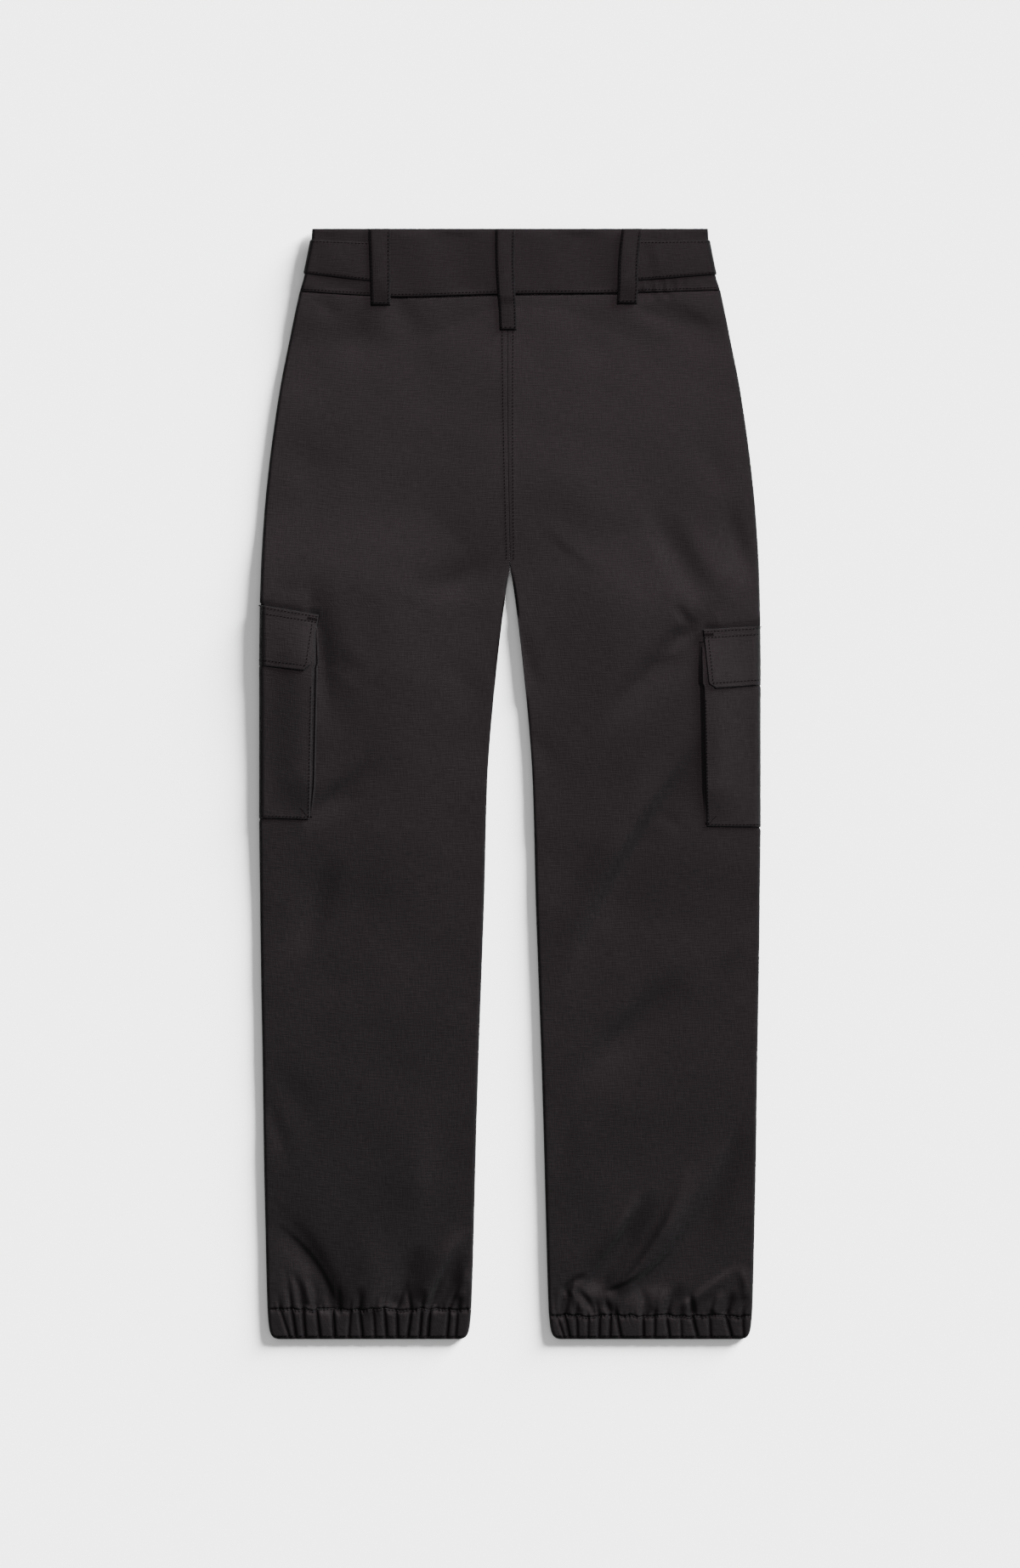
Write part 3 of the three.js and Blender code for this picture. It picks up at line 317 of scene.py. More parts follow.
def fold_height(fold, x, y):
    """One crest or trough with soft ends. One that runs into a hem stays high for longer."""
    dx = fold.x2 - fold.x1
    dy = fold.y2 - fold.y1
    length = np.hypot(dx, dy)
    along = ((x - fold.x1) * dx + (y - fold.y1) * dy) / length ** 2
    sideways = 4 * fold.bow * along * (1 - along)
    across = ((x - fold.x1) * dy - (y - fold.y1) * dx) / length - sideways
    inside = (along > 0) & (along < 1)
    end = 0.82 if fold.y2 < FOLDS_INTO_HEM_Y else 0.5
    fade = ease(0, 0.5, along) * ease(1, end, along)
    width = fold.width * (1 - fold.steep * np.tanh(across / fold.width * 2))
    return np.where(inside, fold.height * fade * bell(across / width), 0)


def rows_on(side, rows, key):
    """A table's rows on one side of the garment, each as an object with named sizes."""
    each = [SimpleNamespace(**dict(zip(rows, values))) for values in zip(*rows.values())]
    return [row for row in each if getattr(row, key) * side > 0]


def groove_at(gather, side, y):
    """Where the middle of a gather's groove is at a height, and how strong it still is there."""
    seam_y = CUFF_SEAM[side]
    down = np.clip((seam_y - y) / (seam_y - HEM_Y), 0, 1)
    up = np.clip((y - seam_y) / gather.reach, 0, 1)
    middle = lerp(gather.seam, gather.hem, down) + gather.lean * up
    return middle, (1 - up) ** 1.5


def gather_depth(side, x, y):
    """The cloth puffs up between the grooves and turns down sharply into each of them."""
    depth = 0
    for gather in rows_on(side, GATHERS, "seam"):
        middle, strength = groove_at(gather, side, y)
        spread_out = GATHER_WIDTH * (0.75 + 0.9 * np.clip((y - CUFF_SEAM[side]) / 20, 0, 1))
        away = np.abs(x - middle) / spread_out
        depth = depth + GATHER_PULL[side] * gather.depth * strength * np.exp(-(away ** 1.4))
    return depth


# %% Rumple
RUMPLE = np.random.default_rng(11)
RUMPLE_HEIGHT = 0.055
LONGEST_WAVE = 150
RUMPLE_WAVES = [
    (RUMPLE.uniform(0, 2 * np.pi), 1 / RUMPLE.uniform(34, LONGEST_WAVE), RUMPLE.uniform(0, 2 * np.pi))
    for _ in range(16)
]


def rumple(x, y):
    """Waves in every direction, the shorter ones lower."""
    height = 0
    for heading, frequency, phase in RUMPLE_WAVES:
        travel = (x * np.cos(heading) + y * np.sin(heading)) * frequency
        height = height + np.sin(2 * np.pi * travel + phase) / (frequency * LONGEST_WAVE) ** 0.8
    return RUMPLE_HEIGHT * height


def clear_of_pocket(side, x, y):
    """Folds fade out under a pocket, so that the pocket lies on smooth cloth."""
    pocket = POCKETS[side]
    inboard = outline_edge(y) - side * x
    beside = ease(pocket.flap_reach_top - 16, pocket.flap_reach_top - 6, inboard)
    above = ease(pocket.flap_top + 2, pocket.flap_top + 18, y)
    below = ease(pocket.bag_bottom - 2, pocket.bag_bottom - 18, y)
    return np.maximum(np.maximum(beside, above), below)


# %% The cuff's seam and the flap's
def seam_wave(side, x):
    """The cuff's seam wavers from gather to gather, and is straight at the folds."""
    seam_y = CUFF_SEAM[side]
    from_outer = ease(2, 16, outline_edge(seam_y) - side * x)
    from_inner = ease(2, 16, side * x - inner_edge(seam_y))
    slow = 0.8 * np.sin(x / 3.1) * np.sin(x / 11 + side) + 0.7 * np.sin(x / 7.3 + side)
    return (slow + 0.4 * np.sin(x / 1.9)) * from_outer * from_inner


def follow_seam(side, x, y):
    """Moves rows of points near the seam along with it."""
    near = np.exp(-np.abs(y - CUFF_SEAM[side]) / 5) * ease(HEM_Y, HEM_Y + 10, y)
    return y + seam_wave(side, x) * near


def seam_ditch(side, x, y):
    """Each stitch of the cuff's seam pulls a small pit into it."""
    middle = CUFF_SEAM[side] + seam_wave(side, x)
    pits = 0.55 + 0.45 * np.cos(2 * np.pi * x / 3.3 + np.sin(x / 5))
    pucker = np.sin(2 * np.pi * x / 6.1 + 2 * np.sin(x / 9)) * bell((y - middle) / 4)
    width = np.where(y > middle, 1.1, 2.4)
    return 1.1 * pits * bell((y - middle) / width) - 0.25 * pucker


def flap_ditch(side, x, y):
    """The seam that holds a flap pulls the panel down along the flap's upper edge."""
    pocket = POCKETS[side]
    inboard = outline_edge(y) - side * x
    above = y - pocket.flap_top - pocket.flap_top_slope * inboard
    across = 1 - ease(pocket.flap_reach_top - 2, pocket.flap_reach_top + 3, inboard)
    return 0.9 * across * bell(above / np.where(above > 0, 1.6, 6))


# %% The height of the back
SOFT_FLOOR = 0.8
FADE_INTO_CUFF = 5


def top_height(side, x, y, fine=True):
    """The back's upper side, kept softly above the lowest place where its cloth still fits."""
    height = LOFT + lift_at(side, x, y, SOFT_LIFT_RAMP)
    into_cuff = np.exp(np.minimum((y - CUFF_SEAM[side]) / FADE_INTO_CUFF, 0))
    tables = (FOLDS, FINE_FOLDS) if fine else (FOLDS,)
    folds = sum(fold_height(fold, x, y) for rows in tables for fold in rows_on(side, rows, "x1"))
    if fine:
        folds = folds + rumple(x, y)
    height = height + folds * clear_of_pocket(side, x, y) * into_cuff - gather_depth(side, x, y)
    if fine:
        height = height - seam_ditch(side, x, y) - flap_ditch(side, x, y)
    lowest = lift_at(side, x, y, LIFT_RAMP) + 2 * SHELL + 2 * GAP
    return (height + lowest + np.hypot(height - lowest, SOFT_FLOOR)) / 2


# %% Points on the legs
def across_leg(side, y, s, depth):
    """Distance from the centre line at a share s of the way across, and how far the cloth has turned."""
    folded = 1 - ease(CROTCH_Y - 30, CROTCH_Y, y)
    inside = inner_edge(y)
    outside = outer_edge(side, y)
    start_turn = np.clip(s / FOLD_SHARE, 0, 1) * np.pi / 2
    end_turn = np.clip((1 - s) / FOLD_SHARE, 0, 1) * np.pi / 2
    flat = np.clip((s - FOLD_SHARE) / (1 - 2 * FOLD_SHARE), 0, 1)
    start = inside + depth * folded + (FOLD_RADIUS - depth * folded) * (1 - np.cos(start_turn))
    end = outside - depth - (FOLD_RADIUS - depth) * (1 - np.cos(end_turn))
    middle = lerp(inside + FOLD_RADIUS, outside - FOLD_RADIUS, flat)
    distance = np.where(s < FOLD_SHARE, start, np.where(s > 1 - FOLD_SHARE, end, middle))
    rise = np.where(s < FOLD_SHARE, 1 - folded * (1 - np.sin(start_turn)), np.sin(end_turn))
    return distance, rise


def fold_middle(side, y):
    return lift_at(side, side * outline_edge(y), y, LIFT_RAMP) + LOFT / 2


def follow_waistband(x, y):
    return y + waistband_rise(x) * ease(WAISTBAND_Y - 50, WAISTBAND_Y - GAP, y)


def centre_shift(x, y):
    return read_table(CENTRE_SEAM, "y", "x", y) * bell(x / 30)


def centre_band(x, y):
    """The centre back seam: a raised felled band, with a ditch where the two halves meet."""
    above_crotch = ease(CROTCH_Y - 4, CROTCH_Y + 16, y)
    band = 0.12 * (1 - ease(3.4, 7, np.abs(x)))
    return above_crotch * (band - 0.08 * bell(x / 0.8))


def back_point(side, y, s, depth):
    distance, rise = across_leg(side, y, s, depth)
    x = side * distance
    placed = follow_seam(side, x, follow_waistband(x, y))
    tuck = lerp(0.9, 0.1, ease(105, 130, np.abs(x)))
    tucked = tuck * ease(WAIST_SEAM_Y - 1.5, WAIST_SEAM_Y - 0.3, y)
    placed = placed + 0.4 * ease(WAIST_SEAM_Y - 3, WAIST_SEAM_Y, y)
    level = top_height(side, x, placed) + centre_band(x, y) - tucked - depth
    z = lerp(fold_middle(side, y) + GAP / 2, level, rise)
    return grid(x + centre_shift(x, y), placed, z)


def front_point(side, y, s, depth):
    distance, rise = across_leg(side, y, s, depth)
    x = side * distance
    placed = follow_waistband(x, y)
    level = lift_at(side, x, placed, LIFT_RAMP) + depth
    z = lerp(fold_middle(side, y) - GAP / 2, level, rise)
    return grid(x, placed, z)


# %% Points round a fold
def turn_round(edge, q, out):
    """Distance from the centre line at q millimetres round a fold, and how far the cloth has turned."""
    turn = np.minimum(np.abs(q) / QUARTER_TURN, 1) * np.pi / 2
    past = np.maximum(np.abs(q) - QUARTER_TURN, 0)
    return edge + out - (FOLD_RADIUS + out) * (1 - np.cos(turn)) - past, np.sin(turn)


def round_leg(side, q, y, out):
    """A place round a leg's outer fold, on the back where q is positive."""
    distance, turned = turn_round(outer_edge(side, y), q, out)
    x = side * distance
    back = top_height(side, x, y, fine=False) + out
    front = lift_at(side, x, y, LIFT_RAMP) - out
    z = lerp(fold_middle(side, y), np.where(q > 0, back, front), turned)
    return grid(x, y, z)


def round_waistband(side, q, y, out):
    """The same round the waistband's side fold."""
    distance, turned = turn_round(waistband_edge(y), q, out)
    level = np.where(q > 0, WAISTBAND_TOP + out, WAIST_LIFT - out)
    z = lerp((WAISTBAND_TOP + WAIST_LIFT) / 2, level, turned)
    return grid(side * distance, y, z)


# %% [markdown]
# Every piece of cloth becomes one closed shell between an upper and a lower grid of points. The rows run
# from the waist to the hem and the columns from left to right. A UV map in metres goes with it, so the
# weave follows the cloth round its folds. Both faces are worked out, so the layers keep their gaps.

# %% A shell of cloth from two grids of points
def measure(points, axis):
    """Distance along a grid from its first row or column, in metres."""
    steps = np.linalg.norm(np.diff(points, axis=axis), axis=-1)
    start = np.zeros_like(np.take(steps, [0], axis=axis))
    return np.concatenate([start, np.cumsum(steps, axis=axis)], axis=axis) * MM


def add_object(name, data):
    thing = bpy.data.objects.new(name, data)
    bpy.context.scene.collection.objects.link(thing)
    return thing


def cloth_shell(name, upper, lower, material, side=1, closed=False):
    """A left piece is worked out from its outer edge inwards, so its columns are turned round here."""
    if side < 0:
        upper, lower = upper[:, ::-1], lower[:, ::-1]
    rows, columns = upper.shape[:2]
    vertices = np.concatenate([upper.reshape(-1, 3), lower.reshape(-1, 3)]) * MM
    number = np.arange(rows * columns).reshape(rows, columns)
    if closed:
        number = np.concatenate([number, number[:, :1]], axis=1)
    a, b, c, d = number[:-1, :-1], number[1:, :-1], number[1:, 1:], number[:-1, 1:]
    over = np.stack([a, b, c, d], axis=-1).reshape(-1, 4)
    under = np.stack([d, c, b, a], axis=-1).reshape(-1, 4) + rows * columns
    rims = []
    edges = [number[0, ::-1], number[-1]]
    if not closed:
        edges = [number[0, ::-1], number[:, 0], number[-1], number[::-1, -1]]
    for edge in edges:
        first, second = edge[:-1], edge[1:]
        rims.append(np.stack([first, first + rows * columns, second + rows * columns, second], axis=-1))
    faces = np.concatenate([over, under, *rims])
    mesh = bpy.data.meshes.new(name)
    mesh.from_pydata(vertices.tolist(), [], faces.tolist())
    uv = np.stack([measure(upper, 1), measure(upper, 0)], axis=-1).reshape(-1, 2)
    corners = np.concatenate([uv, uv])[faces.reshape(-1)]
    mesh.uv_layers.new(name="cloth").data.foreach_set("uv", corners.reshape(-1).astype(np.float32))
    mesh.polygons.foreach_set("use_smooth", np.ones(len(faces), dtype=bool))
    mesh.materials.append(material)
    mesh.validate()
    return add_object(name, mesh)


def dress(piece, node):
    """The shell stands for its solid, which is hidden, and hangs from the garment's root."""
    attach(piece, "root")
    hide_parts(node)
    print(piece.name, len(piece.data.polygons), "faces")


# %% [markdown]
# The cloth is a black cotton twill. Real threads lie 0.3 mm apart, too fine for the picture, so the weave
# is drawn as streaks of warp and weft about 1 mm wide, which give the cloth its slightly mottled grain.
# Dyed cotton scatters light, so it is rough with a weak gloss and a faint sheen of fibre ends. The
# pockets and the pressed double cloth of waistband, loops and straps take the light a little differently.

# %% Colours and nodes
def linear(code):
    """An sRGB hex colour as linear red, green, blue and alpha."""
    parts = [int(code[i:i + 2], 16) / 255 for i in (1, 3, 5)]
    return [p / 12.92 if p <= 0.04045 else ((p + 0.055) / 1.055) ** 2.4 for p in parts] + [1]


def add_node(tree, kind, sources=None, **settings):
    """Adds a node with its properties and inputs. A node as a source stands for its first output."""
    node = tree.nodes.new(kind)
    for key, value in settings.items():
        setattr(node, key, value)
    for socket, source in (sources or {}).items():
        source = source.outputs[0] if isinstance(source, bpy.types.Node) else source
        if isinstance(source, bpy.types.NodeSocket):
            tree.links.new(source, node.inputs[socket])
        else:
            node.inputs[socket].default_value = source
    return node


def new_material(name):
    material = bpy.data.materials.new(name)
    material.use_nodes = True
    material.node_tree.nodes.clear()
    return material


def grained(name, code, scale, detail, strength, roughness, gloss):
    """A material of one colour whose fine grain stands out a little."""
    material = new_material(name)
    tree = material.node_tree
    place = add_node(tree, "ShaderNodeTexCoord").outputs["Object"]
    grain = add_node(tree, "ShaderNodeTexNoise", {"Vector": place, "Scale": scale, "Detail": detail})
    bump = add_node(tree, "ShaderNodeBump", {"Height": grain, "Strength": strength, "Distance": 0.0001})
    surface = add_node(tree, "ShaderNodeBsdfPrincipled", {
        "Base Color": linear(code), "Roughness": roughness, "Specular IOR Level": gloss, "Normal": bump,
    })
    add_node(tree, "ShaderNodeOutputMaterial", {"Surface": surface})
    return material


# %% Black cotton twill
THREAD = 1.0 * MM
STREAK = 12
FINE = 1 / THREAD
LONG = 1 / THREAD / STREAK


def cotton_twill(name, dark, light, gloss):
    material = new_material(name)
    tree = material.node_tree
    place = add_node(tree, "ShaderNodeUVMap", uv_map="cloth")
    streaks = []
    for scale in ((FINE, LONG, 1), (LONG, FINE, 1)):
        drawn_out = add_node(tree, "ShaderNodeMapping", {"Vector": place, "Scale": scale})
        streaks.append(add_node(tree, "ShaderNodeTexNoise",
                                {"Vector": drawn_out, "Scale": 1, "Detail": 2, "Roughness": 0.6}))
    weave = add_node(tree, "ShaderNodeMath", {0: streaks[0], 1: streaks[1]}, operation="ADD")
    worn = add_node(tree, "ShaderNodeTexNoise", {"Vector": place, "Scale": 14, "Detail": 3})
    shade = add_node(tree, "ShaderNodeMath", {0: worn, 1: 0.3, 2: weave}, operation="MULTIPLY_ADD")
    mixed = add_node(tree, "ShaderNodeMapRange", {"Value": shade, "From Min": 0.85, "From Max": 1.45})
    colour = add_node(tree, "ShaderNodeMix", {0: mixed, 6: linear(dark), 7: linear(light)},
                      data_type="RGBA")
    bump = add_node(tree, "ShaderNodeBump", {"Height": weave, "Strength": 0.5, "Distance": 0.0003})
    surface = add_node(tree, "ShaderNodeBsdfPrincipled", {
        "Base Color": colour.outputs[2], "Roughness": 0.55, "Specular IOR Level": gloss,
        "Sheen Weight": 0.015, "Sheen Roughness": 0.45, "Normal": bump,
    })
    add_node(tree, "ShaderNodeOutputMaterial", {"Surface": surface})
    return material


TWILL = cotton_twill("black cotton twill, dyed", "#030303", "#0a090a", 0.07)
POCKET_TWILL = cotton_twill("black cotton twill, second layer", "#040404", "#0b0a0b", 0.075)
PRESSED = cotton_twill("black cotton twill, pressed double", "#020202", "#070607", 0.055)
print("cloth materials", [cloth.name for cloth in (TWILL, POCKET_TWILL, PRESSED)])

# %% [markdown]
# The legs are made first. A back leg needs enough columns for each groove of the gathers to be a few
# columns wide, and its rows lie closer together at the waist seam and towards the hem, where the cloth is
# busiest. The front legs lie hidden on the ground and can be coarser.

# %% Leg panels
TUCK_END_Y = 446
LOOP_END_Y = 430
BUSY_Y = -396


def spread(*stretches):
    """Places from each stretch's start to its end, in about equal steps, without doubles."""
    parts = []
    for start, end, step in stretches:
        parts.append(np.linspace(start, end, max(2, round(abs(end - start) / step) + 1)))
    return np.concatenate([parts[0], *(part[1:] for part in parts[1:])])


def across_shares(turn_step, flat_step):
    """Shares of the way across a leg, closer together where the cloth turns."""
    turned = 1 - FOLD_SHARE
    return spread((0, FOLD_SHARE, turn_step), (FOLD_SHARE, turned, flat_step), (turned, 1, turn_step))


def leg_panel(side, back):
    seam_y = CUFF_SEAM[side] + GAP / 2
    if back:
        y = spread((WAIST_SEAM_Y, TUCK_END_Y, 0.35), (TUCK_END_Y, LOOP_END_Y, 1.5),
                   (LOOP_END_Y, BUSY_Y, 3.6), (BUSY_Y, seam_y + 5, 1.7), (seam_y + 5, seam_y, 0.6))
    else:
        y = spread((WAIST_SEAM_Y, seam_y, 9))
    s = across_shares(0.01, 0.0066 if back else 0.03)
    place = back_point if back else front_point
    depths = (0, SHELL) if back else (SHELL, 0)
    upper, lower = (place(side, y[:, None], s[None, :], depth) for depth in depths)
    kind = "back" if back else "front"
    piece = cloth_shell(f"{kind}_panel_{SIDES[side]}", upper, lower, TWILL, side)
    dress(piece, f"{kind}_leg_{SIDES[side]}")


for side in SIDES:
    leg_panel(side, back=False)
    leg_panel(side, back=True)

# %% [markdown]
# The hem casing is a band round the ankle with shorter elastic inside, so it stands in pleats on the side
# that shows. It is one tube with its lower side flat on the ground.


def cuff(side):
    y = spread((CUFF_SEAM[side] - GAP / 2, HEM_Y + 5, 0.9), (HEM_Y + 5, HEM_Y, 0.5))
    back_s = across_shares(0.008, 0.0048)
    front_s = across_shares(0.012, 0.03)[-2:0:-1]
    hem = ease(HEM_Y, HEM_Y + 3.5, y)[:, None]

    def ring(depth):
        distance, rise = across_leg(side, y[:, None], back_s[None, :], depth)
        x = side * distance
        placed = follow_seam(side, x, y[:, None])
        top = lerp(LOFT * 0.72, top_height(side, x, placed), lerp(0.4, 1, hem)) - depth
        back = grid(x, placed, lerp(LOFT / 2, top, rise))
        distance, rise = across_leg(side, y[:, None], front_s[None, :], depth)
        front = grid(side * distance, y[:, None], lerp(LOFT / 2, depth, rise))
        return np.concatenate([back, front], axis=1)

    piece = cloth_shell(f"hem_cuff_{SIDES[side]}", ring(0), ring(SHELL), TWILL, side, closed=True)
    dress(piece, f"cuff_{SIDES[side]}")


for side in SIDES:
    cuff(side)

# %% [markdown]
# The waistband is folded double round its stiffening, so its halves are thick and keep a rounded upper
# edge. A slow wave along it keeps it from looking like a board, and it puckers beside the right loop.

# %% Waistband
WAISTBAND_COLUMNS = 190
WAISTBAND_ROUND = table("down share", [
    (0, 0.45), (0.6, 0.8), (1.8, 1), (6, 1), (WAISTBAND_HEIGHT - 1.4, 1), (WAISTBAND_HEIGHT - 0.5, 0.9),
    (WAISTBAND_HEIGHT, 0.7),
])


def waistband_wave(x, y):
    calm = ease(0, 8, WAIST_Y - y) * ease(0, 6, y - WAISTBAND_Y)
    puckers = bell((x - 138) / 22) * np.sin(x * 0.62) * ease(472, 452, y)
    return calm * (0.25 * np.sin(x / 17 + 1) + 0.2 * np.sin(x / 9.5 + y / 30)) + 0.45 * puckers


def waistband_half(up):
    lower_edge = WAISTBAND_HEIGHT - 2
    down = spread((0, 2, 0.4), (2, lower_edge, 2), (lower_edge, WAISTBAND_HEIGHT, 0.4))[:, None]
    turn = spread((0, np.pi / 2, 0.2))[:-1]
    flat_columns = np.linspace(-1, 1, WAISTBAND_COLUMNS)
    column = np.concatenate([np.full(len(turn), -1), flat_columns, np.full(len(turn), 1)])[None, :]
    angle = np.concatenate([turn, np.full(WAISTBAND_COLUMNS, np.pi / 2), turn[::-1]])[None, :]
    y = WAIST_Y - down
    share = np.interp(down, WAISTBAND_ROUND["down"], WAISTBAND_ROUND["share"])
    middle = (WAISTBAND_TOP + WAIST_LIFT + up * GAP) / 2
    level = WAISTBAND_TOP if up > 0 else WAIST_LIFT

    def surface(outside):
        depth = 0 if outside else WAISTBAND_CLOTH
        bend = waistband_edge(y) - depth - (FOLD_RADIUS - depth) * (1 - np.cos(angle))
        flat = np.abs(column) * (waistband_edge(y) - FOLD_RADIUS)
        x = np.sign(column) * np.where(angle < np.pi / 2 - 1e-6, bend, flat)
        half = WAISTBAND_CLOTH / 2
        z = level - up * (half + (-1 if outside else 1) * half * share)
        if up > 0:
            z = z + waistband_wave(x, y)
        placed = y + waistband_rise(x) * ease(WAIST_Y - 44, WAISTBAND_Y, y)
        return grid(x, placed, lerp(middle, z, np.sin(angle)))

    kind = "back" if up > 0 else "front"
    piece = cloth_shell(f"waistband_{kind}_band", surface(up > 0), surface(up < 0), PRESSED)
    dress(piece, f"waistband_{kind}")


for up in (-1, 1):
    waistband_half(up)

# %% [markdown]
# The belt loops are narrow folded strips, laid over the waistband and sewn down at both ends. Their long
# edges are rounded and their middle stands up a little, as a strip does when a belt has been through it.

# %% Belt loops
def loop_line(loop, across, y, raised):
    """A point on a loop, across from -1 at its left edge to 1 at its right."""
    edge = WAISTBAND_Y + waistband_rise(loop.bottom_x)
    down = (WAIST_Y - y) / (WAIST_Y - loop.bottom_y)
    bow = loop.shift + loop.bow * np.sin(np.pi * np.clip(down * 1.25, 0, 1))
    middle = lerp(loop.top_x, loop.bottom_x, down) - bow
    x = middle + across * lerp(loop.top_width, loop.bottom_width, down) / 2
    over = ease(edge - 14, edge + 8, y) if loop.strap else ease(edge - 9, edge - 1, y)
    side = -1 if loop.bottom_x < 0 else 1
    out = GAP + (STRAP_STRIP + GAP) * np.clip((y - 424) / 38, 0, 1) * loop.strap
    panel = top_height(side, x, np.minimum(y, edge - 2), fine=False) + GAP
    z = lerp(panel, WAISTBAND_TOP, over) + out + raised
    return grid(x, y, z)


def belt_loop(name, loop):
    y = spread((WAIST_Y - 0.2, WAIST_Y - 3, 0.5), (WAIST_Y - 3, loop.bottom_y, 1.2))[:, None]
    across = np.array([-1, -0.995, -0.98, -0.95, -0.6, -0.3, 0, 0.3, 0.6, 0.95, 0.98, 0.995, 1])[None, :]
    rounded = np.sqrt(1 - 0.9 * np.abs(across) ** 30)
    ends = ease(-0.6, 1.6, WAIST_Y - y) * ease(-0.3, 0.3, y - loop.bottom_y)
    crown = 0.35 * (1 - across ** 2) * np.sin(np.pi * (WAIST_Y - y) / (WAIST_Y - loop.bottom_y))
    upper = loop_line(loop, across, y, LOOP_CLOTH * rounded * lerp(0.35, 1, ends) + crown)
    lower = loop_line(loop, across, y, 0.05 + crown)
    piece = cloth_shell(f"belt_loop_{name}_strip", upper, lower, PRESSED)
    dress(piece, f"belt_loop_{name}")


for name, loop in LOOPS.items():
    belt_loop(name, loop)

# %% [markdown]
# The straps come from under the side loops and wrap round the sides to the front, where they can't be
# seen. They are slightly tapered strips, drawn as grids round the side fold of the waistband.

# %% Waist straps
def wrap(back_reach, front_reach, step):
    """Distances round a fold, from a reach on the back to a reach on the front."""
    return spread((back_reach, QUARTER_TURN, step), (QUARTER_TURN, -QUARTER_TURN, 0.8),
                  (-QUARTER_TURN, -front_reach, step * 2))


def strap_point(side, q, down, out):
    strap = STRAPS[side]
    inwards = np.clip(q / strap.back_reach, 0, 1)
    top = lerp(strap.fold_top, strap.loop_top, inwards)
    bottom = lerp(strap.fold_bottom, strap.loop_bottom, inwards)
    narrowed = 7 * ease(strap.front_reach - 14, strap.front_reach, -q)
    along = ease(64, 50, q) * ease(4, 40, q)
    puff = strap.puff * along * (0.4 + 0.6 * np.sin(np.pi * down))
    return round_waistband(side, q, lerp(top - narrowed, bottom + narrowed, down), out + puff)


def waist_strap(side):
    strap = STRAPS[side]
    q = wrap(strap.back_reach, strap.front_reach, 2)[None, :]
    down = np.array([0, 0.005, 0.018, 0.05, *np.linspace(0.12, 0.88, 14), 0.95, 0.982, 0.995, 1])[:, None]
    rounded = np.sqrt(1 - 0.85 * np.abs(2 * down - 1) ** 30)
    wave = 0.25 * np.sin(q / 11 + side) * np.sin(np.pi * down) * ease(4, 16, q)
    upper = strap_point(side, q, down, GAP + 0.1 + (STRAP_STRIP - 0.1) * rounded + wave)
    lower = strap_point(side, q, down, GAP)
    piece = cloth_shell(f"waist_strap_{SIDES[side]}_band", upper, lower, PRESSED, side)
    dress(piece, f"waist_strap_{SIDES[side]}")


for side in SIDES:
    waist_strap(side)

# %% [markdown]
# A cargo pocket is a bag on a folded gusset, so its free edge stands a few millimetres off the leg, and
# the flap covers its mouth. Bag, gusset and flap are grids round the outer fold of the leg. The bag is
# slack, so it gets a soft swell of its own.

# %% Cargo pockets
def pocket_edge(pocket, name, q):
    return getattr(pocket, name) + getattr(pocket, name + "_slope") * np.maximum(q, -25)


def bellows_ramp(pocket, q, y):
    """The gusset opens between the bag's sewn-down bottom and its mouth."""
    low = pocket_edge(pocket, "bag_bottom", q)
    top = pocket_edge(pocket, "flap_top", q)
    return ease(low, low + 40, y) * ease(top + 10, top - 50, y)


def bellows_lift(pocket, q, y):
    beside = ease(pocket.bag_reach_bottom - 42, pocket.bag_reach_bottom - 4, q)
    return BELLOWS_LIFT * beside * bellows_ramp(pocket, q, y)


def bag_point(side, share, down, out):
    """share runs from 0 at the bag's free edge on the back to 1 at its edge on the front."""
    pocket = POCKETS[side]
    reach = lerp(pocket.bag_reach_top, pocket.bag_reach_bottom, down)
    q = lerp(reach, -FRONT_REACH, share)
    top = pocket_edge(pocket, "flap_top", q) - 2 * POCKET_MOUTH
    y = lerp(top, pocket_edge(pocket, "bag_bottom", q), down)
    slack = 0.1 * np.sin(y / 16 + side) * np.sin(q / 15)
    slack = slack * ease(2, 14, q) * ease(reach, reach - 10, q)
    return round_leg(side, q, y, out + bellows_lift(pocket, q, y) + slack)


def flap_point(side, share, down, out):
    pocket = POCKETS[side]
    corner = 4 * ease(0.85, 1, down) ** 2
    reach = lerp(pocket.flap_reach_top, pocket.flap_reach_bottom, down) - corner
    q = lerp(reach, -FRONT_REACH + 1, share)
    y = lerp(pocket_edge(pocket, "flap_top", q), pocket_edge(pocket, "flap_bottom", q), down)
    sewn = ease(0, 0.005, down)
    lifted = 0.25 * ease(0.5, 1, down) * ease(6, 30, q)
    return round_leg(side, q, y, out + lifted + sewn * (LAYER + bellows_lift(pocket, q, y)))


def turned_edge(position, width):
    """1 inside a piece and falling to 0 at its folded edges, within a small width."""
    return np.sqrt(1 - (1 - np.clip(position / width, 0, 1)) ** 2 * 0.95)


def way_round(pocket):
    """How far a pocket runs round the leg, from its free edge on the back to its edge on the front."""
    return pocket.bag_reach_top + FRONT_REACH


def pocket_shares(pocket):
    whole = way_round(pocket)
    q = wrap(pocket.bag_reach_top - 2, FRONT_REACH, 1.6)
    edge = np.array([0, 0.2, 0.5, 1.0, 1.5]) / whole
    return np.concatenate([edge, (pocket.bag_reach_top - q) / whole])[None, :]


def pocket_piece(side, kind, point, down, flat):
    pocket = POCKETS[side]
    share = pocket_shares(pocket)
    height = flat[1] / MM
    rounded = turned_edge(share * way_round(pocket), 1.1) * turned_edge((1 - down) * height, 1.1)
    upper = point(side, share, down, GAP + 0.15 + (CLOTH - 0.15) * rounded)
    lower = point(side, share, down, GAP)
    name = f"pocket_{kind}_{SIDES[side]}"
    piece = cloth_shell(name + "_cloth", upper, lower, POCKET_TWILL, side)
    dress(piece, name)


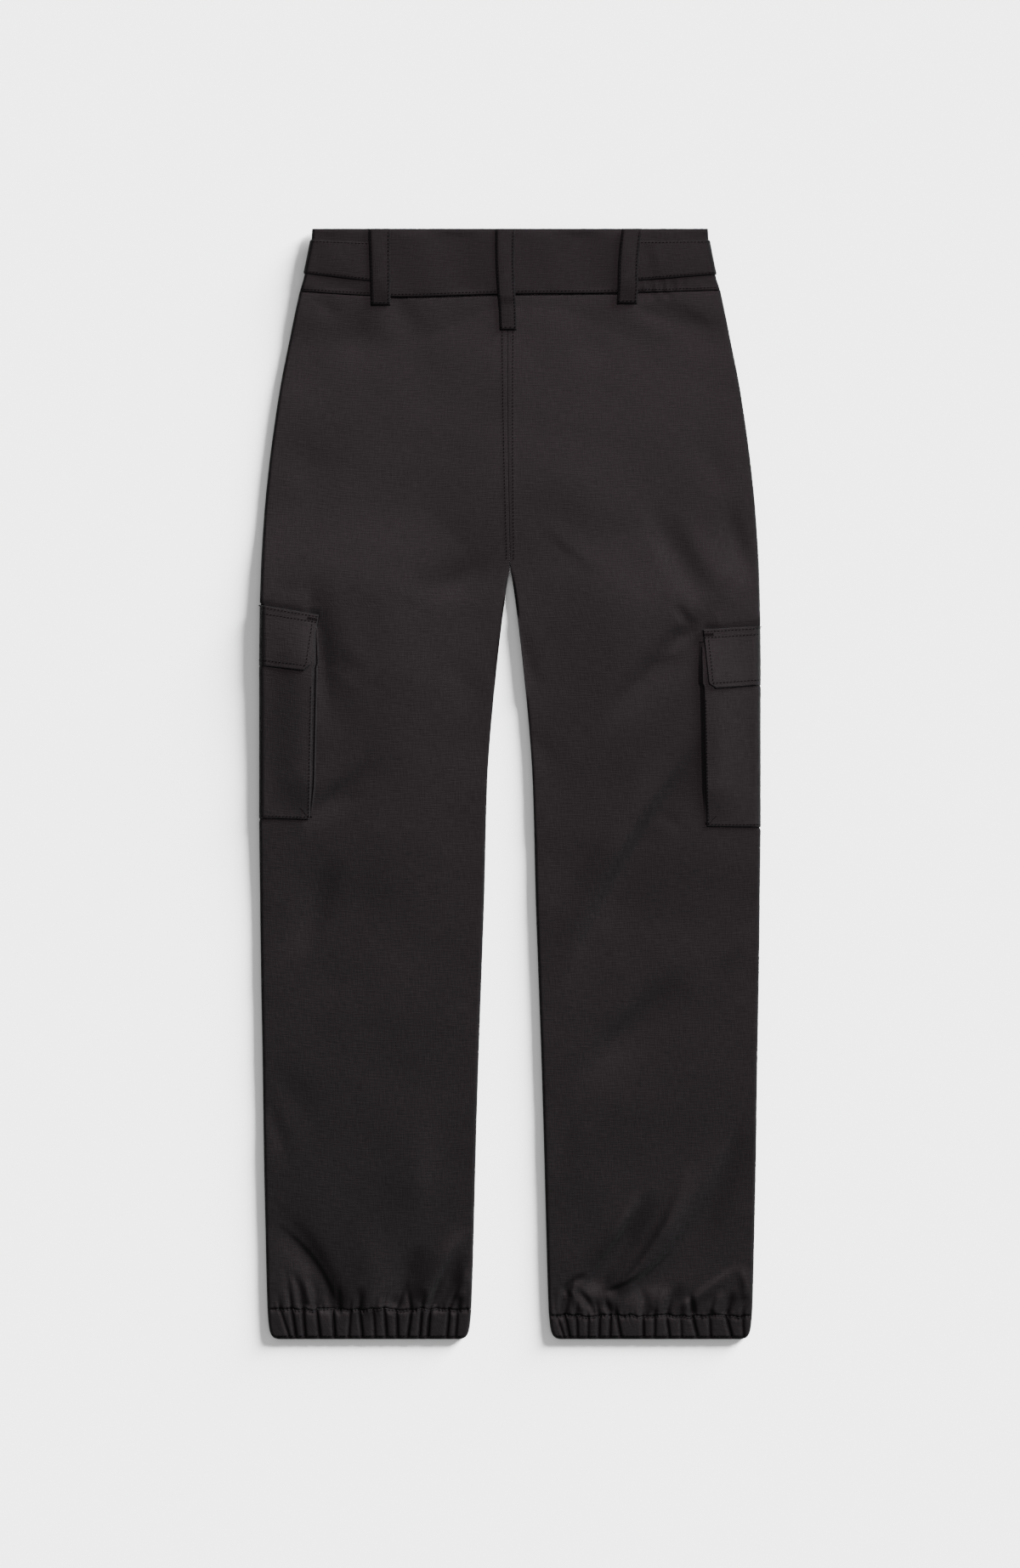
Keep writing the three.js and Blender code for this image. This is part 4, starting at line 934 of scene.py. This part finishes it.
def pocket_gusset(side):
    """A folded strip that shows beside the bag as two soft edges with a crease between them."""
    pocket = POCKETS[side]
    shows = pocket.gusset_shows
    down = spread((0, 1, 0.012))[:, None]
    across = np.linspace(0, 1, 36)[None, :]
    edge = lerp(pocket.bag_reach_top, pocket.bag_reach_bottom, down)
    middle_y = lerp(pocket.flap_top - POCKET_MOUTH - 3, pocket.bag_bottom + 2, down)
    ramp = bellows_ramp(pocket, edge, middle_y)
    width = shows + GUSSET_TUCK * ramp
    q = edge + shows * lerp(0.4, 1, ramp) - across * width
    top = pocket_edge(pocket, "flap_top", q) - POCKET_MOUTH - 3
    y = lerp(top, pocket_edge(pocket, "bag_bottom", q) + 2, down)
    crease = 1 - 0.5 * bell((across * width - shows * 0.55) / 0.6)
    slope = np.clip(across * width / shows, 0.05, 1)
    rounded = slope if side > 0 else turned_edge(across * width, 1.2) * crease
    upper = round_leg(side, q, y, GAP + 0.05 + (GUSSET_CLOTH - GAP - 0.05) * rounded * ramp)
    lower = round_leg(side, q, y, GAP)
    name = f"pocket_gusset_{SIDES[side]}"
    piece = cloth_shell(name + "_fold", upper, lower, TWILL, side)
    dress(piece, name)


for side, pocket in POCKETS.items():
    bag_height = (pocket.flap_top - 2 * POCKET_MOUTH - pocket.bag_bottom) * MM
    flap_height = (pocket.flap_top - pocket.flap_bottom) * MM
    ends = [0, 0.002, 0.005, 0.01]
    bag_down = np.array([*ends, *np.linspace(0.02, 0.98, 90), *(1 - np.array(ends))[::-1]])[:, None]
    flap_down = np.array([*ends, *np.linspace(0.02, 0.98, 44), 0.988, 0.995, 1])[:, None]
    pocket_piece(side, "bag", bag_point, bag_down, (BAG_CUT * MM, bag_height))
    pocket_gusset(side)
    pocket_piece(side, "flap", flap_point, flap_down, (FLAP_CUT * MM, flap_height))


# %% [markdown]
# The fly lies hidden against the ground. It is a plain facing whose lower end curves in, drawn as a grid
# between its straight edge and that curve.

# %% Fly
def fly_facing():
    top = WAIST_SEAM_Y - GAP
    y = spread((top, FLY.bottom + 40, 6), (FLY.bottom + 40, FLY.bottom + 0.5, 1.5))[:, None]
    width = FLY.right - FLY.left
    across = np.linspace(0, 1, 14)[None, :]
    curve = np.sqrt(1 - np.clip((FLY.bottom + width - y) / width, 0, 1) ** 2)
    x = FLY.left + across * width * np.maximum(curve, 0.06)
    piece = cloth_shell("fly_facing", grid(x, y, CLOTH), grid(x, y, CLOTH - SHELL), TWILL)
    dress(piece, "fly")


fly_facing()


# %% [markdown]
# Topstitching draws the garment's construction. A stitch repeats hundreds of times along a line, which is
# a job for Geometry Nodes: one tree places it at even steps, turned to follow the line, for seams and
# bar tacks alike.

# %% Spun thread
# Polyester thread, twisted, so it is smoother than the cloth.
THREAD_BLACK = grained("black polyester thread, spun", "#020202", 2500, 1, 0.3, 0.5, 0.02)

# %% The tree that sews
sewing = bpy.data.node_groups.new("sewn stitches", "GeometryNodeTree")
sewing.interface.new_socket("Lines", in_out="INPUT", socket_type="NodeSocketGeometry")
for size in ("Spacing", "Stitch Length", "Thread Width"):
    sewing.interface.new_socket(size, in_out="INPUT", socket_type="NodeSocketFloat")
sewing.interface.new_socket("Stitches", in_out="OUTPUT", socket_type="NodeSocketGeometry")
given = add_node(sewing, "NodeGroupInput").outputs
curves = add_node(sewing, "GeometryNodeMeshToCurve", {"Mesh": given["Lines"]})
steps = add_node(sewing, "GeometryNodeCurveToPoints", {"Curve": curves, "Length": given["Spacing"]},
                 mode="LENGTH")
stitch = add_node(sewing, "GeometryNodeMeshUVSphere", {"Segments": 6, "Rings": 4, "Radius": 0.5})
size = add_node(sewing, "ShaderNodeCombineXYZ",
                {"X": given["Thread Width"], "Y": given["Thread Width"], "Z": given["Stitch Length"]})
placed = add_node(sewing, "GeometryNodeInstanceOnPoints", {
    "Points": steps, "Instance": stitch, "Rotation": steps.outputs["Rotation"], "Scale": size,
})
real = add_node(sewing, "GeometryNodeRealizeInstances", {"Geometry": placed})
threaded = add_node(sewing, "GeometryNodeSetMaterial", {"Geometry": real, "Material": THREAD_BLACK})
add_node(sewing, "NodeGroupOutput", {"Stitches": threaded})
print("sewing tree with", len(sewing.nodes), "nodes")


def sew(name, lines, spacing, length, width):
    """Makes stitches along lines of points in millimetres, as one plain mesh."""
    mesh = bpy.data.meshes.new(name)
    starts = np.cumsum([0] + [len(line) for line in lines]).tolist()
    edges = [(start + i, start + i + 1) for start, end in zip(starts, starts[1:])
             for i in range(end - start - 1)]
    mesh.from_pydata((np.concatenate(lines) * MM).tolist(), edges, [])
    piece = add_object(name, mesh)
    modifier = piece.modifiers.new("sewing", "NODES")
    modifier.node_group = sewing
    sizes = {"Spacing": spacing, "Stitch Length": length, "Thread Width": width}
    for socket in sewing.interface.items_tree:
        if socket.name in sizes:
            modifier[socket.identifier] = sizes[socket.name] * MM
    evaluated = piece.evaluated_get(bpy.context.evaluated_depsgraph_get())
    stitches = bpy.data.meshes.new_from_object(evaluated)
    piece.modifiers.clear()
    piece.data = stitches
    stitches.polygons.foreach_set("use_smooth", np.ones(len(stitches.polygons), dtype=bool))
    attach(piece, "root")
    print(name, len(stitches.polygons), "faces")


# %% Where the seams run
PROUD = 0.12


def on_back(side, x, y):
    z = top_height(side, x, y) + centre_band(x, y) + PROUD
    return grid(x + centre_shift(x, y), y, z)


def on_waistband(x, above_edge):
    y = WAISTBAND_Y + waistband_rise(x) + above_edge
    return grid(x, y, WAISTBAND_TOP + waistband_wave(x, y) + PROUD)


lines = []
for start, end in ((-188, -130), (-108, -14), (8, 97), (118, 188)):
    lines.append(on_waistband(np.linspace(start, end, 60), 2.4))
for x_top, x_bottom, side in ((-5, -3.2, -1), (5, 3.2, 1)):
    y = np.linspace(414, CROTCH_Y + 4, 120)
    lines.append(on_back(side, lerp(x_bottom, x_top, (y - CROTCH_Y) / (414 - CROTCH_Y)), y))
for loop in LOOPS.values():
    end_y = loop.bottom_y + 2.5
    for edge in (-0.8, 0.8):
        lines.append(loop_line(loop, edge, np.linspace(WAIST_Y - 4, end_y, 60), LOOP_CLOTH + 0.2))
    lines.append(loop_line(loop, np.linspace(-0.8, 0.8, 12), end_y, LOOP_CLOTH + 0.2))
for side, strap in STRAPS.items():
    q = wrap(strap.back_reach - 2, strap.front_reach - 4, 3)
    for down in (0.06, 0.94):
        lines.append(strap_point(side, q, down, GAP + STRAP_STRIP + PROUD))
for side, pocket in POCKETS.items():
    flap_height = pocket.flap_top - pocket.flap_bottom
    whole = way_round(pocket)
    inset = 4.5 / whole
    hem_line = 1 - 5 / flap_height
    for point, share, down in (
        (flap_point, np.linspace(1.5 / whole, 0.97, 90), 2.2 / flap_height),
        (flap_point, np.linspace(1.5 / whole, 0.97, 90), 7.6 / flap_height),
        (flap_point, np.linspace(inset, 0.97, 90), hem_line),
        (flap_point, inset, np.linspace(0.2, hem_line, 30)),
        (bag_point, np.linspace(2 / whole, 0.98, 90), 0.986),
        (bag_point, 1.6 / whole, np.linspace(0.3, 0.98, 70)),
    ):
        lines.append(point(side, share, down, LAYER + PROUD))
for side in SIDES:
    middle_y = HEM_Y + 4
    x = side * np.linspace(inner_edge(middle_y) + 4, outline_edge(middle_y) - 4, 240)
    for y in (HEM_Y + 3 + 0 * x, CUFF_SEAM[side] - 1.3 + seam_wave(side, x)):
        lines.append(grid(x, y, top_height(side, x, y) + 0.05))
sew("topstitching", lines, spacing=3.2, length=2.3, width=0.7)

# %% Bar tacks
tacks = []
for side, pocket in POCKETS.items():
    whole = way_round(pocket)
    flap_height = pocket.flap_top - pocket.flap_bottom
    share = np.linspace(1 / whole, 9 / whole, 12)
    for step in range(4):
        tacks.append(flap_point(side, share, (4 + step * 0.7) / flap_height, LAYER + PROUD))
    corner = np.linspace(0, 1, 8)
    tacks.append(bag_point(side, lerp(2, 9, corner) / whole, lerp(0.985, 0.94, corner), LAYER + PROUD))
sew("bar_tacks", tacks, spacing=1.3, length=1.3, width=0.5)

# %% [markdown]
# The button is the only hard part. It is moulded resin that lies hidden on the ground, so its solid stays
# and gets its own finish.

# %% Button
def moulded_resin(name, code):
    material = new_material(name)
    tree = material.node_tree
    place = add_node(tree, "ShaderNodeTexCoord").outputs["Object"]
    cloud = add_node(tree, "ShaderNodeTexNoise", {"Vector": place, "Scale": 400, "Detail": 2})
    rough = add_node(tree, "ShaderNodeMapRange", {"Value": cloud, "To Min": 0.3, "To Max": 0.42})
    surface = add_node(tree, "ShaderNodeBsdfPrincipled", {"Base Color": linear(code), "Roughness": rough})
    add_node(tree, "ShaderNodeOutputMaterial", {"Surface": surface})
    return material


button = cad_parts["waist_button"]
button.data.materials.clear()
button.data.materials.append(moulded_resin("black polyester resin, moulded", "#1d1c1d"))

# %% [markdown]
# The picture is taken from straight above through a long lens, so that the sides don't lean. The floor is
# pale and plain. A low soft lamp from the upper right lights the cloth and throws the narrow shadow to
# the left and below. Two more lamps, past the waist and at the right, show only in the cloth's gloss.

# %% Floor
REACH = 6
FLOOR_DROP = 0.3
corners = [(-REACH, -REACH, 0), (REACH, -REACH, 0), (REACH, REACH, 0), (-REACH, REACH, 0)]
floor_mesh = bpy.data.meshes.new("floor")
floor_mesh.from_pydata(corners, [], [(0, 1, 2, 3)])
floor_mesh.materials.append(grained("pale painted board", "#f8f8f8", 900, 2, 0.05, 0.9, 0.1))
floor = add_object("floor", floor_mesh)
floor.location.z = -FLOOR_DROP * MM

# %% Lamps
world = bpy.data.worlds.new("soft room")
world.use_nodes = True
background = world.node_tree.nodes["Background"].inputs
background["Color"].default_value = (1, 1, 1, 1)
background["Strength"].default_value = 0.55
bpy.context.scene.world = world


def aimed(name, light, place):
    """A lamp that points at the middle of the garment."""
    lamp = add_object(name, light)
    lamp.location = place
    lamp.rotation_euler = lamp.location.to_track_quat("Z", "Y").to_euler()
    return lamp


key = bpy.data.lights.new("key lamp", "SUN")
key.energy = 62
key.angle = np.radians(26)
aimed("key lamp", key, (1.8, 1.6, 0.53)).visible_glossy = False
for name, energy, place in (("waist lamp", 316, (0.12, 1.75, 3.3)), ("side lamp", 50, (1.4, -0.15, 2.6))):
    glow = bpy.data.lights.new(name, "AREA")
    glow.shape = "DISK"
    glow.size = 1.2
    glow.energy = energy
    glow.color = (1, 0.74, 0.81)
    aimed(name, glow, place).visible_diffuse = False

# %% Camera
PHOTO_HEIGHT = 1845
MM_PER_PIXEL = 0.78
lens = bpy.data.cameras.new("overhead camera")
lens.sensor_fit = "VERTICAL"
lens.sensor_height = 24
lens.lens = 85
camera = add_object("overhead camera", lens)
camera.location = (0, 0, PHOTO_HEIGHT * MM_PER_PIXEL * MM * lens.lens / lens.sensor_height)
bpy.context.scene.camera = camera
print("camera", round(camera.location.z, 3), "m up")
